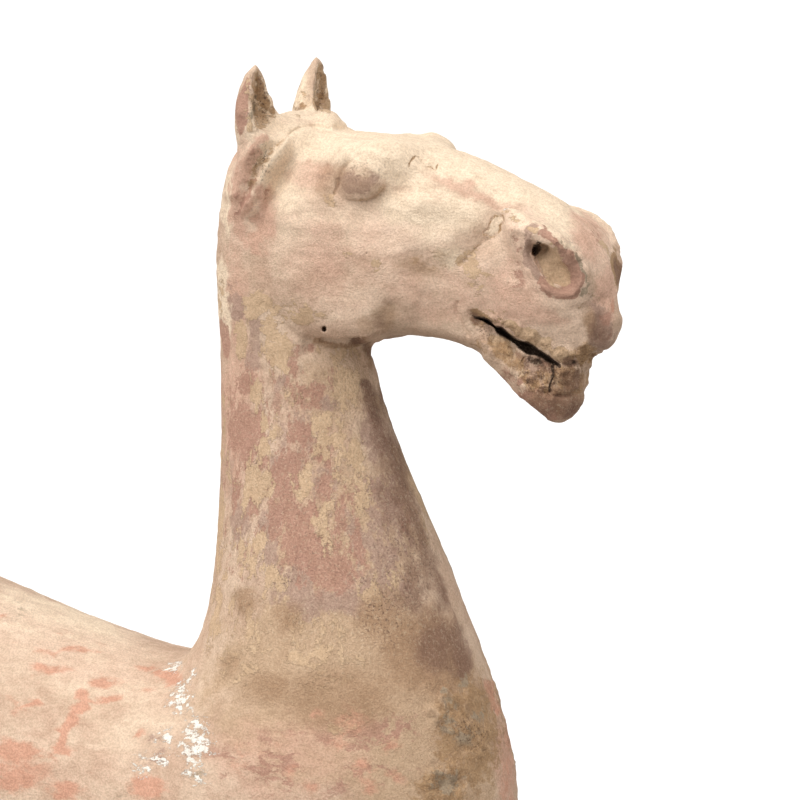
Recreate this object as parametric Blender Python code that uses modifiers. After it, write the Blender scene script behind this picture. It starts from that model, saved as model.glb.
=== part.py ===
"""Painted pottery horse standing on a low slab, modelled and fired in one piece.

Metres, +Z up, +X towards the horse's head, +Y towards its left side.
The origin is the centre of the slab's underside.
The figure is built as a potter builds it: the large masses first, joined and
scraped smooth, then the features laid on, then the openings cut out.
"""
import math

import bmesh
import bpy
import numpy as np
from mathutils import Matrix, Vector

# Driving sizes in metres
HORSE_HEIGHT = 0.665
SLAB_THICKNESS = 0.015
SLAB_MARGIN = 0.024
SLAB_CORNER_RADIUS = 0.012
SLAB_EDGE_ROUNDING = 0.003
HOOF_SINK = 0.002

# The figure's own tables are in hundredths of its height, z from the slab's top
UNIT = HORSE_HEIGHT / 100

# Fineness of the clay while it is worked, in the same hundredths, and of the finished solid
MASS_VOXEL = 0.45
FEATURE_VOXEL = 0.32
MASS_SMOOTHING = 20
FEATURE_SMOOTHING = 5
MARK_SMOOTHING = 3
RING_POINTS = 40
RINGS_PER_STATION = 5
MARK_STEPS = 8
FINISHED_TRIANGLES = 9300

# The head keeps more of the triangles: all of them count the same below the first height
PLAIN_BELOW = 66.0
FINE_ABOVE = 80.0
HEAD_WEIGHT = 0.30
WEIGHT_STRENGTH = 0.002

CLAY_COLOUR = (0.56, 0.37, 0.26, 1.0)
CLAY_ROUGHNESS = 0.92
SMOOTH_SHADING_ANGLE = math.radians(50)

# Body, from the rump to the breast and round up the neck to the poll:
# back x, back z, belly x, belly z, half width
BODY = [
    (-32.2, 52.0, -32.4, 46.0, 2.6),
    (-31.0, 56.6, -31.0, 41.5, 7.2),
    (-27.5, 60.4, -27.5, 37.0, 10.4),
    (-22.0, 61.9, -22.0, 34.6, 12.0),
    (-15.0, 60.8, -15.0, 33.4, 12.2),
    (-7.0, 58.5, -7.0, 32.6, 11.9),
    (1.0, 56.5, 1.5, 32.2, 11.8),
    (5.5, 55.9, 10.5, 32.6, 11.7),
    (7.0, 55.8, 19.5, 33.6, 11.6),
    (7.5, 56.0, 27.5, 36.8, 11.3),
    (8.1, 56.6, 33.2, 43.2, 10.6),
    (9.0, 58.2, 32.9, 51.0, 9.4),
    (9.9, 61.6, 29.9, 60.0, 7.8),
    (10.3, 66.8, 26.8, 67.2, 6.0),
    (10.4, 72.8, 24.0, 73.6, 4.9),
    (10.3, 79.4, 22.4, 78.6, 4.4),
    (10.1, 86.0, 21.6, 83.6, 4.5),
    (11.1, 92.4, 20.5, 88.6, 4.6),
    (13.4, 95.6, 20.0, 92.0, 3.6),
]

# Skull and upper jaw: top x, top z, underside x, underside z, half width
SKULL = [
    (13.6, 94.0, 16.6, 84.0, 2.6),
    (15.6, 95.7, 18.6, 82.0, 4.2),
    (19.6, 95.5, 21.8, 81.2, 5.0),
    (24.4, 95.2, 25.6, 81.8, 5.0),
    (29.6, 94.3, 29.4, 81.8, 4.5),
    (34.3, 92.5, 33.0, 81.8, 3.9),
    (37.2, 91.2, 36.2, 80.8, 3.5),
    (39.4, 89.7, 38.8, 80.0, 3.4),
    (41.0, 87.8, 40.5, 80.8, 2.6),
    (41.7, 85.6, 41.5, 82.2, 1.0),
]

# Lower jaw: upper edge x, z, under edge x, z, half width
LOWER_JAW = [
    (21.0, 84.6, 21.4, 80.8, 3.0),
    (25.6, 84.4, 25.4, 80.8, 3.9),
    (29.6, 83.4, 29.1, 80.6, 3.3),
    (32.6, 82.6, 32.0, 79.6, 3.0),
    (35.4, 81.0, 34.3, 77.5, 2.9),
    (37.7, 79.6, 36.2, 75.6, 2.7),
    (39.0, 78.4, 37.7, 75.0, 2.2),
    (39.3, 77.2, 38.5, 75.5, 1.1),
]

# Legs: front x, back x, z, half width, distance of the axis from the middle plane
FORE_LEG = [
    (29.0, 15.0, 47.0, 4.4, 6.0),
    (27.6, 15.6, 38.0, 4.6, 6.6),
    (25.0, 16.8, 30.0, 3.6, 6.9),
    (23.4, 17.8, 23.0, 2.7, 6.9),
    (23.2, 18.0, 19.0, 2.7, 6.9),
    (22.4, 18.6, 15.0, 2.0, 6.9),
    (22.2, 18.7, 9.0, 1.9, 6.9),
    (22.7, 18.4, 6.4, 2.4, 6.9),
    (22.9, 18.8, 4.6, 2.2, 6.9),
    (24.4, 18.0, 2.4, 2.9, 6.9),
    (25.2, 17.6, 0.0, 3.3, 6.9),
    (25.2, 17.6, -0.3, 3.3, 6.9),
]
HIND_LEG = [
    (-16.0, -31.0, 50.0, 4.6, 6.6),
    (-15.2, -30.6, 42.0, 5.0, 7.2),
    (-17.6, -29.6, 34.0, 4.4, 7.4),
    (-21.6, -30.2, 27.0, 3.2, 7.2),
    (-25.2, -31.2, 22.0, 2.5, 7.1),
    (-25.8, -31.4, 18.6, 2.4, 7.1),
    (-25.6, -29.8, 14.6, 2.0, 7.1),
    (-25.0, -28.7, 9.0, 1.9, 7.1),
    (-24.2, -28.6, 6.4, 2.4, 7.1),
    (-23.8, -28.0, 4.6, 2.2, 7.1),
    (-22.0, -28.6, 2.4, 2.9, 7.1),
    (-21.2, -29.0, 0.0, 3.3, 7.1),
    (-21.2, -29.0, -0.3, 3.3, 7.1),
]

# Tail: front x, back x, z, half width
TAIL = [
    (-26.4, -29.0, 60.6, 1.5),
    (-29.0, -32.6, 58.6, 1.9),
    (-30.6, -35.0, 54.6, 2.0),
    (-31.2, -36.0, 49.0, 1.9),
    (-31.4, -36.0, 42.0, 2.0),
    (-31.4, -35.6, 35.0, 1.9),
    (-31.8, -34.8, 30.4, 1.4),
    (-32.4, -34.0, 28.2, 0.7),
]

# Marks of the tool and the thumb on the head, seen from the side: x, z, reach, height
UPPER_LID = [
    (22.1, 90.8, 0.8, 0.0),
    (22.3, 92.2, 0.8, 0.3),
    (23.0, 93.6, 0.8, 0.35),
    (24.3, 94.2, 0.8, 0.35),
    (25.7, 93.9, 0.8, 0.25),
    (26.7, 92.9, 0.8, 0.0),
]
UNDER_LID_CREASE = [
    (22.5, 91.0, 0.6, -0.1),
    (22.9, 92.3, 0.6, -0.3),
    (23.9, 93.3, 0.6, -0.2),
    (25.3, 93.3, 0.6, 0.0),
]
EYE_SOCKET = [
    (22.8, 91.0, 1.3, -0.1),
    (24.6, 90.2, 1.3, -0.2),
    (26.6, 90.9, 1.4, -0.35),
    (27.2, 92.2, 1.2, -0.2),
]
CHEEKBONE = [
    (26.4, 90.6, 1.3, 0.1),
    (28.4, 91.0, 1.5, 0.4),
    (30.8, 90.7, 1.5, 0.3),
    (33.0, 90.2, 1.3, 0.0),
]
CHEEK_HOLLOW = [
    (27.6, 88.2, 2.6, -0.1),
    (29.8, 86.0, 3.2, -0.4),
    (30.4, 83.6, 2.4, -0.1),
]
MUZZLE_CREASE = [
    (34.5, 90.3, 0.9, -0.1),
    (33.5, 89.0, 1.2, -0.4),
    (32.4, 87.6, 1.2, -0.35),
    (31.2, 86.4, 1.2, 0.0),
]
NOSTRIL_FLAP = [
    (34.0, 90.6, 0.9, 0.1),
    (35.4, 89.8, 1.2, 0.7),
    (37.2, 89.1, 1.2, 0.8),
    (39.0, 88.5, 1.1, 0.4),
]
NOSTRIL_RIM = [
    (36.0, 89.3, 0.9, 0.5),
    (38.2, 88.8, 1.0, 0.7),
    (40.1, 87.0, 1.0, 0.7),
    (40.7, 85.5, 1.0, 0.6),
    (40.1, 84.5, 1.0, 0.6),
    (39.1, 84.3, 1.0, 0.6),
    (38.0, 84.9, 1.0, 0.6),
    (37.1, 86.1, 1.0, 0.5),
    (36.2, 88.0, 0.9, 0.5),
    (36.0, 89.3, 0.9, 0.5),
]
NOSTRIL_BOWL = [
    (37.2, 88.0, 1.1, -0.9),
    (38.4, 86.7, 1.3, -1.0),
    (39.4, 85.6, 1.2, -0.8),
]
LIP_FOLD = [
    (31.6, 84.2, 0.9, 0.0),
    (31.2, 83.2, 0.9, 0.4),
    (31.9, 81.8, 0.9, 0.3),
    (33.2, 80.2, 0.9, 0.0),
]
LIP_STEP = [
    (41.2, 85.2, 0.8, 0.0),
    (40.9, 83.6, 0.8, -0.4),
    (40.6, 81.6, 0.8, -0.4),
]
FORELOCK_GROOVE = [
    (19.6, 95.2, 0.8, 0.0),
    (18.4, 94.0, 0.9, -0.5),
    (17.5, 92.3, 1.0, -0.8),
    (16.4, 90.2, 0.9, -0.7),
    (15.2, 87.8, 0.9, 0.0),
]

# Each mark with the distance from the middle plane inside which it fades out
MARKS = [
    (FORELOCK_GROOVE, 1.5),
    (EYE_SOCKET, 2.0),
    (UPPER_LID, 2.0),
    (UNDER_LID_CREASE, 2.0),
    (CHEEK_HOLLOW, 1.0),
    (CHEEKBONE, 1.5),
    (MUZZLE_CREASE, 1.2),
    (NOSTRIL_FLAP, 1.2),
    (NOSTRIL_RIM, 1.2),
    (NOSTRIL_BOWL, 1.5),
    (LIP_FOLD, 1.2),
    (LIP_STEP, 1.2),
]

# Slot of the mouth: upper edge x, z, lower edge x, z, half width, distance from the middle plane
MOUTH_SLOT = [
    (31.8, 82.95, 31.8, 82.75, 2.7, 4.0),
    (33.8, 82.5, 33.5, 81.7, 2.7, 4.0),
    (36.0, 81.3, 35.5, 80.3, 2.7, 4.0),
    (37.7, 80.3, 37.4, 79.5, 2.7, 4.0),
    (38.9, 79.5, 38.8, 79.2, 2.7, 4.0),
]

# Ear and its hollow: front x, z, back x, z, half width, distance from the middle plane
EAR = [
    (17.0, 92.4, 14.0, 92.0, 1.3, 3.7),
    (17.1, 94.6, 13.9, 94.8, 1.75, 4.1),
    (17.0, 96.6, 13.9, 96.8, 1.75, 4.3),
    (16.6, 98.4, 14.3, 98.6, 1.3, 4.4),
    (16.1, 99.8, 14.9, 99.9, 0.75, 4.45),
    (15.7, 100.5, 15.3, 100.5, 0.35, 4.45),
]
EAR_HOLLOW = [
    (18.2, 94.9, 16.5, 95.1, 0.4, 4.25),
    (18.4, 95.7, 15.3, 95.9, 1.15, 4.3),
    (18.2, 97.1, 14.9, 97.3, 1.15, 4.4),
    (17.6, 98.4, 15.3, 98.5, 0.7, 4.45),
    (17.0, 99.2, 15.9, 99.3, 0.25, 4.45),
]


def spline_rows(stations, per_station):
    """Rows between the stations, on a curve that passes through each of them."""
    rows = np.array(stations, float)
    tangents = np.gradient(rows, axis=0)
    made = []
    for here, there, leaving, arriving in zip(rows, rows[1:], tangents, tangents[1:]):
        for t in np.arange(per_station) / per_station:
            made.append(
                (2 * t**3 - 3 * t**2 + 1) * here
                + (t**3 - 2 * t**2 + t) * leaving
                + (3 * t**2 - 2 * t**3) * there
                + (t**3 - t**2) * arriving
            )
    return made + [rows[-1]]


def mesh_object(name, mesh_maker):
    """An object whose mesh is what mesh_maker builds in a bmesh."""
    mesh = bpy.data.meshes.new(name)
    shape = bmesh.new()
    mesh_maker(shape)
    bmesh.ops.recalc_face_normals(shape, faces=shape.faces)
    shape.to_mesh(mesh)
    shape.free()
    made = bpy.data.objects.new(name, mesh)
    bpy.context.scene.collection.objects.link(made)
    return made


def skin(name, rows, fullness=1.0):
    """A closed skin over rings.

    A row has an edge point x, z, the opposite edge point x, z, the half width and y.
    """

    def fill(shape):
        rings = []
        for edge_x, edge_z, far_x, far_z, half_width, middle_y in rows:
            edge = Vector((edge_x, middle_y, edge_z))
            far = Vector((far_x, middle_y, far_z))
            ring = []
            for k in range(RING_POINTS):
                angle = math.tau * k / RING_POINTS
                across = math.copysign(abs(math.cos(angle)) ** fullness, math.cos(angle))
                along = math.copysign(abs(math.sin(angle)) ** fullness, math.sin(angle))
                point = (edge + far) / 2 + (edge - far) / 2 * along
                point.y += half_width * across
                ring.append(shape.verts.new(point * UNIT))
            rings.append(ring)
        for ring, following in zip(rings, rings[1:]):
            for k in range(RING_POINTS):
                after = (k + 1) % RING_POINTS
                shape.faces.new((ring[k], ring[after], following[after], following[k]))
        shape.faces.new(rings[0])
        shape.faces.new(rings[-1])

    return mesh_object(name, fill)


def lump(name, centre, radii, lean=0.0, turn=0.0, roll=0.0, fullness=1.0):
    """A rounded lump of clay. lean turns it about Y, turn about Z and roll about X, in degrees.

    Under 1, fullness flattens its poles and squares its rim, as on a pressed disc.
    """
    pose = (
        Matrix.Translation(Vector(centre) * UNIT)
        @ Matrix.Rotation(math.radians(turn), 4, "Z")
        @ Matrix.Rotation(math.radians(lean), 4, "Y")
        @ Matrix.Rotation(math.radians(roll), 4, "X")
        @ Matrix.Diagonal((*(Vector(radii) * UNIT), 1.0))
    )

    def fill(shape):
        bmesh.ops.create_uvsphere(shape, u_segments=32, v_segments=20, radius=1.0)
        for vert in shape.verts:
            around = math.hypot(vert.co.x, vert.co.y)
            if around > 1e-6:
                vert.co.xy *= around**fullness / around
            vert.co.z = math.copysign(abs(vert.co.z) ** fullness, vert.co.z)
        shape.transform(pose)

    return mesh_object(name, fill)


def on_both_sides(maker, name, *values, **options):
    """What maker makes for the horse's left side, and its mirror image on the right."""
    left = maker(name + "_left", *values, **options)
    right = left.copy()
    right.name = name + "_right"
    right.data = left.data.copy()
    right.data.transform(Matrix.Scale(-1, 4, (0, 1, 0)))
    right.data.flip_normals()
    bpy.context.scene.collection.objects.link(right)
    return [left, right]


def joined(name, objects):
    """One object from several, its masses still overlapping."""
    bpy.ops.object.select_all(action="DESELECT")
    for piece in objects:
        piece.select_set(True)
    bpy.context.view_layer.objects.active = objects[0]
    bpy.ops.object.join()
    objects[0].name = name
    return objects[0]


def applied(obj, kind, **settings):
    """Adds a modifier with these settings and applies it."""
    modifier = obj.modifiers.new(kind.title(), kind)
    for key, value in settings.items():
        setattr(modifier, key, value)
    bpy.ops.object.select_all(action="DESELECT")
    obj.select_set(True)
    bpy.context.view_layer.objects.active = obj
    bpy.ops.object.modifier_apply(modifier=modifier.name)


def worked_together(obj, voxel, smoothing):
    """Kneads overlapping masses into one body and scrapes the joins smooth."""
    applied(obj, "REMESH", mode="VOXEL", voxel_size=voxel * UNIT)
    applied(obj, "SMOOTH", factor=0.5, iterations=smoothing)


def masses():
    """Body with neck, skull, lower jaw, legs and tail, each a skin over its stations."""
    made = []
    for name, table, fullness in (
        ("body", BODY, 1.0),
        ("skull", SKULL, 0.8),
        ("lower_jaw", LOWER_JAW, 0.9),
    ):
        rows = [(*row, 0.0) for row in spline_rows(table, RINGS_PER_STATION)]
        made.append(skin(name, rows, fullness))
    for name, table in (("fore_leg", FORE_LEG), ("hind_leg", HIND_LEG)):
        for side in (-1, 1):
            rows = [
                (front, z, back, z, half, side * apart)
                for front, back, z, half, apart in spline_rows(table, RINGS_PER_STATION)
            ]
            made.append(skin(name, rows))
    tail = [(front, z, back, z, half, 0.0) for front, back, z, half in spline_rows(TAIL, RINGS_PER_STATION)]
    made.append(skin("tail", tail))
    return made


def features():
    """What is laid on the smoothed masses: jaw plates, brows, eyes, muzzle, lips, teeth, ears and poll."""
    made = on_both_sides(
        lump, "cheek", (22.3, 2.1, 87.0), (7.0, 6.7, 3.4), roll=90, fullness=0.72
    )
    made += on_both_sides(lump, "brow", (24.4, 3.6, 94.1), (3.5, 1.4, 1.0), lean=3)
    made += on_both_sides(lump, "eye", (24.4, 3.9, 92.2), (2.1, 1.8, 1.6), lean=14)
    made += on_both_sides(lump, "muzzle_side", (36.8, 1.2, 85.4), (4.4, 3.0, 4.4), lean=25)
    made += on_both_sides(lump, "nostril", (37.2, 2.8, 87.8), (3.3, 1.8, 2.0), lean=48)
    made.append(lump("upper_lip", (39.8, 0.0, 83.6), (2.0, 2.7, 3.2), lean=-8))
    made.append(lump("teeth", (37.6, 0.0, 79.6), (1.9, 2.5, 1.9), lean=30))
    made += on_both_sides(skin, "ear", spline_rows(EAR, RINGS_PER_STATION))
    made.append(lump("poll", (16.6, 0.0, 93.8), (3.8, 4.6, 2.9), lean=4))
    made += on_both_sides(lump, "forelock", (15.4, 4.0, 92.4), (1.1, 1.5, 4.4), lean=26)
    return made


def marked(obj, line, fade_width):
    """Raises or presses the surface along a line seen from the side, on both sides of the head.

    A row of the line has x, z, how far the mark reaches and how high it stands.
    The mark is whole from twice fade_width off the middle plane, and gone inside fade_width.
    """
    count = len(obj.data.vertices)
    points = np.empty(count * 3, np.float32)
    normals = np.empty(count * 3, np.float32)
    obj.data.vertices.foreach_get("co", points)
    obj.data.vertex_normals.foreach_get("vector", normals)
    points = points.reshape(-1, 3) / UNIT
    normals = normals.reshape(-1, 3)
    rows = np.array(spline_rows(line, MARK_STEPS))
    low = rows[:, :2].min(0) - rows[:, 2].max()
    high = rows[:, :2].max(0) + rows[:, 2].max()
    seen = points[:, [0, 2]]
    near = np.flatnonzero(((seen > low) & (seen < high)).all(1))
    gaps = np.linalg.norm(seen[near, None, :] - rows[None, :, :2], axis=2)
    closest = gaps.argmin(1)
    share = np.clip(gaps.min(1) / rows[closest, 2], 0, 1)
    height = rows[closest, 3] * (1 - share**2) ** 2
    height *= np.clip(np.abs(points[near, 1]) / fade_width - 1, 0, 1)
    points[near] += normals[near] * height[:, None]
    obj.data.vertices.foreach_set("co", (points * UNIT).astype(np.float32).ravel())
    obj.data.update()


def openings():
    """The cutters for the ear hollows, the nostrils and the slot of the mouth on each side."""
    made = on_both_sides(skin, "ear_hollow", spline_rows(EAR_HOLLOW, RINGS_PER_STATION))
    made += on_both_sides(lump, "nostril_hole", (37.5, 4.0, 88.0), (0.55, 2.0, 1.0), lean=30)
    made += on_both_sides(skin, "mouth_slot", spline_rows(MOUTH_SLOT, RINGS_PER_STATION))
    return joined("openings", made)


def standing_place():
    """Middle and reach of the four hooves, in metres along X, and their reach along Y."""
    hooves = (FORE_LEG[-1], HIND_LEG[-1])
    front = max(hoof[0] for hoof in hooves) * UNIT
    back = min(hoof[1] for hoof in hooves) * UNIT
    side = max(hoof[3] + hoof[4] for hoof in hooves) * UNIT
    return (front + back) / 2, (front - back) / 2, side


def rounded(shape, edges, radius, segments):
    """Rounds these edges of a bmesh."""
    bmesh.ops.bevel(shape, geom=edges, offset=radius, segments=segments, profile=0.5, affect="EDGES")


def slab(half_length, half_width):
    """The low slab under the hooves, its corners and edges rounded."""

    def fill(shape):
        bmesh.ops.create_cube(
            shape,
            size=1.0,
            matrix=Matrix.Translation((0, 0, SLAB_THICKNESS / 2))
            @ Matrix.Diagonal((2 * half_length, 2 * half_width, SLAB_THICKNESS, 1.0)),
        )
        corners = [edge for edge in shape.edges if edge.verts[0].co.xy == edge.verts[1].co.xy]
        rounded(shape, corners, SLAB_CORNER_RADIUS, 4)
        rims = [edge for edge in shape.edges if edge.verts[0].co.z == edge.verts[1].co.z]
        rounded(shape, rims, SLAB_EDGE_ROUNDING, 2)

    return mesh_object("slab", fill)


def thinned(horse):
    """Leaves as many triangles as the finished solid may have, and more of them on the head."""
    group = horse.vertex_groups.new(name="plain")
    for vert in horse.data.vertices:
        share = (vert.co.z / UNIT - PLAIN_BELOW) / (FINE_ABOVE - PLAIN_BELOW)
        group.add([vert.index], 1 - (1 - HEAD_WEIGHT) * min(max(share, 0), 1), "REPLACE")
    triangles = sum(len(face.vertices) - 2 for face in horse.data.polygons)
    applied(
        horse,
        "DECIMATE",
        ratio=FINISHED_TRIANGLES / triangles,
        vertex_group=group.name,
        vertex_group_factor=WEIGHT_STRENGTH,
        use_collapse_triangulate=True,
    )
    horse.vertex_groups.clear()


def fired_clay():
    """Bare painted clay: matt, in the colour of its worn slip."""
    clay = bpy.data.materials.new("painted_clay")
    clay.use_nodes = True
    shader = clay.node_tree.nodes["Principled BSDF"]
    shader.inputs["Base Color"].default_value = CLAY_COLOUR
    shader.inputs["Roughness"].default_value = CLAY_ROUGHNESS
    return clay


def main():
    for old in list(bpy.data.objects):
        bpy.data.objects.remove(old)
    horse = joined("horse_figure", masses())
    worked_together(horse, MASS_VOXEL, MASS_SMOOTHING)
    horse = joined("horse_figure", [horse, *features()])
    worked_together(horse, FEATURE_VOXEL, FEATURE_SMOOTHING)
    for line, fade_width in MARKS:
        marked(horse, line, fade_width)
    applied(horse, "SMOOTH", factor=0.5, iterations=MARK_SMOOTHING)
    cutters = openings()
    applied(horse, "BOOLEAN", operation="DIFFERENCE", object=cutters)
    bpy.data.objects.remove(cutters)
    thinned(horse)
    middle, half_length, half_width = standing_place()
    horse.data.transform(Matrix.Translation((-middle, 0, SLAB_THICKNESS - HOOF_SINK)))
    ground = slab(half_length + SLAB_MARGIN, half_width + SLAB_MARGIN)
    applied(horse, "BOOLEAN", operation="UNION", object=ground)
    bpy.data.objects.remove(ground)
    horse.data.materials.clear()
    horse.data.materials.append(fired_clay())
    horse.data.shade_smooth()
    horse.data.set_sharp_from_angle(angle=SMOOTH_SHADING_ANGLE)


main()
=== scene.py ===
import math

import bmesh
import bpy
import numpy as np
from mathutils import Matrix, Vector
from mathutils.bvhtree import BVHTree


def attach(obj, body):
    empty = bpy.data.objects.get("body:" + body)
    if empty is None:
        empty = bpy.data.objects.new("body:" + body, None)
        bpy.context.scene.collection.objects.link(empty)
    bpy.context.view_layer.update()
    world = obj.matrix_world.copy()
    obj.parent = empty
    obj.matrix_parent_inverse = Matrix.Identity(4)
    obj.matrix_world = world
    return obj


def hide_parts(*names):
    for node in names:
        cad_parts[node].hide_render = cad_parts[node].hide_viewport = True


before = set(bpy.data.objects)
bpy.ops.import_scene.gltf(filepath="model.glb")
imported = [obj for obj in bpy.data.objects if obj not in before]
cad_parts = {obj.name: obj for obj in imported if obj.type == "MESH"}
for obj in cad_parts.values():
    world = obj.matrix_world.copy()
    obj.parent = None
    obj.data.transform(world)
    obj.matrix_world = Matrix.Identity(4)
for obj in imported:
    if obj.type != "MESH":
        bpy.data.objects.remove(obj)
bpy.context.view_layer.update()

# The place the horse is looked at from: beside its right shoulder, turned a little towards its face
# and looking slightly down. Marks on the horse are placed further on as they are seen from here, in
# the pixels of an 800 by 800 picture, the way a maker marks out a carving.
VIEW_TURN = math.radians(27)
VIEW_RISE = math.radians(8)
VIEW_DISTANCE = 1.7
VIEW_TARGET = Vector((0.177635, 0, 0.5195))
METRES_PER_PIXEL = 0.00048
PICTURE_PIXELS = 800
SENSOR_MM = 36

view_back = Vector(
    (
        math.sin(VIEW_TURN) * math.cos(VIEW_RISE),
        -math.cos(VIEW_TURN) * math.cos(VIEW_RISE),
        math.sin(VIEW_RISE),
    )
)
view_right = Vector((math.cos(VIEW_TURN), math.sin(VIEW_TURN), 0))
view_up = view_back.cross(view_right)
eye_point = VIEW_TARGET + view_back * VIEW_DISTANCE

lens = bpy.data.cameras.new("studio_camera")
lens.sensor_width = SENSOR_MM
lens.lens = SENSOR_MM * VIEW_DISTANCE / (PICTURE_PIXELS * METRES_PER_PIXEL)
lens.clip_end = 200
camera = bpy.data.objects.new("studio_camera", lens)
axes = Matrix((view_right, view_up, view_back)).transposed()
camera.matrix_world = Matrix.Translation(eye_point) @ axes.to_4x4()
bpy.context.scene.collection.objects.link(camera)
bpy.context.scene.camera = camera

# The clay figure: horse and slab are one hollow firing of coarse reddish clay, built up by hand,
# paddled and scraped smooth, so its skin keeps soft unevenness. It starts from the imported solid,
# which is rounded off and laid out again in an even, fine skin.
CREASE_ANGLE = math.radians(40)
SLAB_TOP = 0.015
SKIN_GRID = 0.0015
SKIN_SMOOTHING = 6


def finished_with(obj, kind, **settings):
    """Adds a modifier with these settings and applies it."""
    modifier = obj.modifiers.new(kind.lower(), kind)
    for key, value in settings.items():
        setattr(modifier, key, value)
    bpy.ops.object.select_all(action="DESELECT")
    obj.select_set(True)
    bpy.context.view_layer.objects.active = obj
    bpy.ops.object.modifier_apply(modifier=modifier.name)


def places_of(obj):
    """Its vertices as rows of x, y, z."""
    flat = np.empty(len(obj.data.vertices) * 3, np.float32)
    obj.data.vertices.foreach_get("co", flat)
    return flat.reshape(-1, 3).astype(float)


def normals_of(obj):
    """The surface's outward direction at each vertex."""
    flat = np.empty(len(obj.data.vertices) * 3, np.float32)
    obj.data.vertex_normals.foreach_get("vector", flat)
    return flat.reshape(-1, 3).astype(float)


def put_places(obj, places):
    """Moves its vertices to these rows."""
    obj.data.vertices.foreach_set("co", places.astype(np.float32).ravel())
    obj.data.update()


def weigh(obj, name, weights):
    """A vertex group with these weights, told apart in twentieths."""
    group = obj.vertex_groups.new(name=name)
    levels = np.round(np.clip(weights, 0, 1) * 20).astype(int)
    for level in range(1, 21):
        group.add(np.flatnonzero(levels == level).tolist(), level / 20, "REPLACE")
    return name


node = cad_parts["horse_figure"]
horse = bpy.data.objects.new("painted_clay_horse", node.data.copy())
horse.data.materials.clear()
bpy.context.scene.collection.objects.link(horse)
clay = bmesh.new()
clay.from_mesh(horse.data)
bmesh.ops.remove_doubles(clay, verts=clay.verts, dist=1e-5)
crease = clay.edges.layers.float.new("crease_edge")
for edge in clay.edges:
    low = max(vert.co.z for vert in edge.verts) < SLAB_TOP + 1e-4
    if low and edge.calc_face_angle(0) > CREASE_ANGLE:
        edge[crease] = 1
clay.to_mesh(horse.data)
clay.free()
finished_with(horse, "SUBSURF", levels=2, render_levels=2)
finished_with(horse, "REMESH", mode="VOXEL", voxel_size=SKIN_GRID)
finished_with(horse, "SMOOTH", factor=0.5, iterations=SKIN_SMOOTHING)

# The carving of the head. Lids, nostrils, cheeks and lips were pressed and cut in soft clay with a
# blade and a thumb, the same on both sides. Each mark is a line or a patch seen from the camera
# place, with its reach in pixels and its height in millimetres.
FAR = 1e4
RIGHT, LEFT = -1, 1


def in_picture(places):
    """Picture pixels of each place."""
    away = places - np.array(eye_point)
    scale = VIEW_DISTANCE / METRES_PER_PIXEL / (away @ -np.array(view_back))
    across = PICTURE_PIXELS / 2 + scale * (away @ np.array(view_right))
    down = PICTURE_PIXELS / 2 - scale * (away @ np.array(view_up))
    return np.stack((across, down), 1)


def seen(places, side=RIGHT):
    """Picture pixels of each place, all taken as lying on the horse's right, or on its left."""
    return in_picture(np.stack((places[:, 0], side * np.abs(places[:, 1]), places[:, 2]), 1))


def turned_to_eye(places, normals, side=RIGHT):
    """One where the surface, taken on that side, is turned to the camera place, nought behind."""
    near = normals.copy()
    near[:, 1] *= np.where(places[:, 1] * side >= 0, 1, -1)
    return np.clip(near @ np.array(view_back) * 2.5 + 1, 0, 1)


def curved(points, steps=6):
    """A smooth line through these points."""
    points = np.array(points, float)
    padded = np.vstack((2 * points[0] - points[1], points, 2 * points[-1] - points[-2]))
    rows = []
    for a, b, c, d in zip(padded, padded[1:], padded[2:], padded[3:]):
        for t in np.arange(steps) / steps:
            slope = (c - a) * t + (2 * a - 5 * b + 4 * c - d) * t * t
            rows.append(b + 0.5 * (slope + (3 * b - a - 3 * c + d) * t**3))
    return np.array(rows + [points[-1]])


def beside(pixels, line, reach=60):
    """Distance in pixels to a drawn line, less than nought on its left, and the share passed."""
    away = np.full(len(pixels), FAR)
    passed = np.zeros(len(pixels))
    near = np.flatnonzero(
        ((pixels > line.min(0) - reach) & (pixels < line.max(0) + reach)).all(1)
    )
    best = np.full(len(near), FAR)
    for step, (start, end) in enumerate(zip(line, line[1:])):
        along = end - start
        gap = pixels[near] - start
        share = np.clip(gap @ along / (along @ along), 0, 1)
        gap -= share[:, None] * along
        distance = np.hypot(gap[:, 0], gap[:, 1])
        closer = distance < best
        best[closer] = distance[closer]
        side = along[0] * gap[:, 1] - along[1] * gap[:, 0]
        away[near[closer]] = (np.where(side < 0, -1, 1) * distance)[closer]
        passed[near[closer]] = ((step + share) / (len(line) - 1))[closer]
    return away, passed


def eased(values, low, high):
    """Nought below low, one above high and smooth between."""
    t = np.clip((values - low) / (high - low), 0, 1)
    return t * t * (3 - 2 * t)


def groove(pixels, points, reach, ends=0.12):
    """One along a drawn line, fading over reach to its sides and towards its ends."""
    away, passed = beside(pixels, curved(points))
    return np.exp(-((away / reach) ** 2)) * eased(passed, 0, ends) * eased(1 - passed, 0, ends)


def ledge(pixels, points, crisp, fade, ends=0.12):
    """A step up on the right of a drawn line, crisp at the line and fading away from it."""
    away, passed = beside(pixels, curved(points), 3 * fade)
    step = eased(away, -crisp, crisp) * np.exp(-np.clip(away, 0, FAR) / fade)
    return step * eased(passed, 0, ends) * eased(1 - passed, 0, ends)


def inside(pixels, outline, soft):
    """One inside a closed outline, fading over soft pixels at its edge."""
    outline = curved(list(outline) + [outline[0]])
    away, _ = beside(pixels, outline, soft + 2)
    x, y = pixels.T
    crossings = np.zeros(len(pixels), bool)
    for (x0, y0), (x1, y1) in zip(outline, outline[1:]):
        if y0 != y1:
            spans = (y0 > y) != (y1 > y)
            crossings ^= spans & (x < (x1 - x0) * (y - y0) / (y1 - y0) + x0)
    depth = np.where(crossings, np.abs(away), -np.abs(away))
    return eased(depth, -soft, soft)


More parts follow.
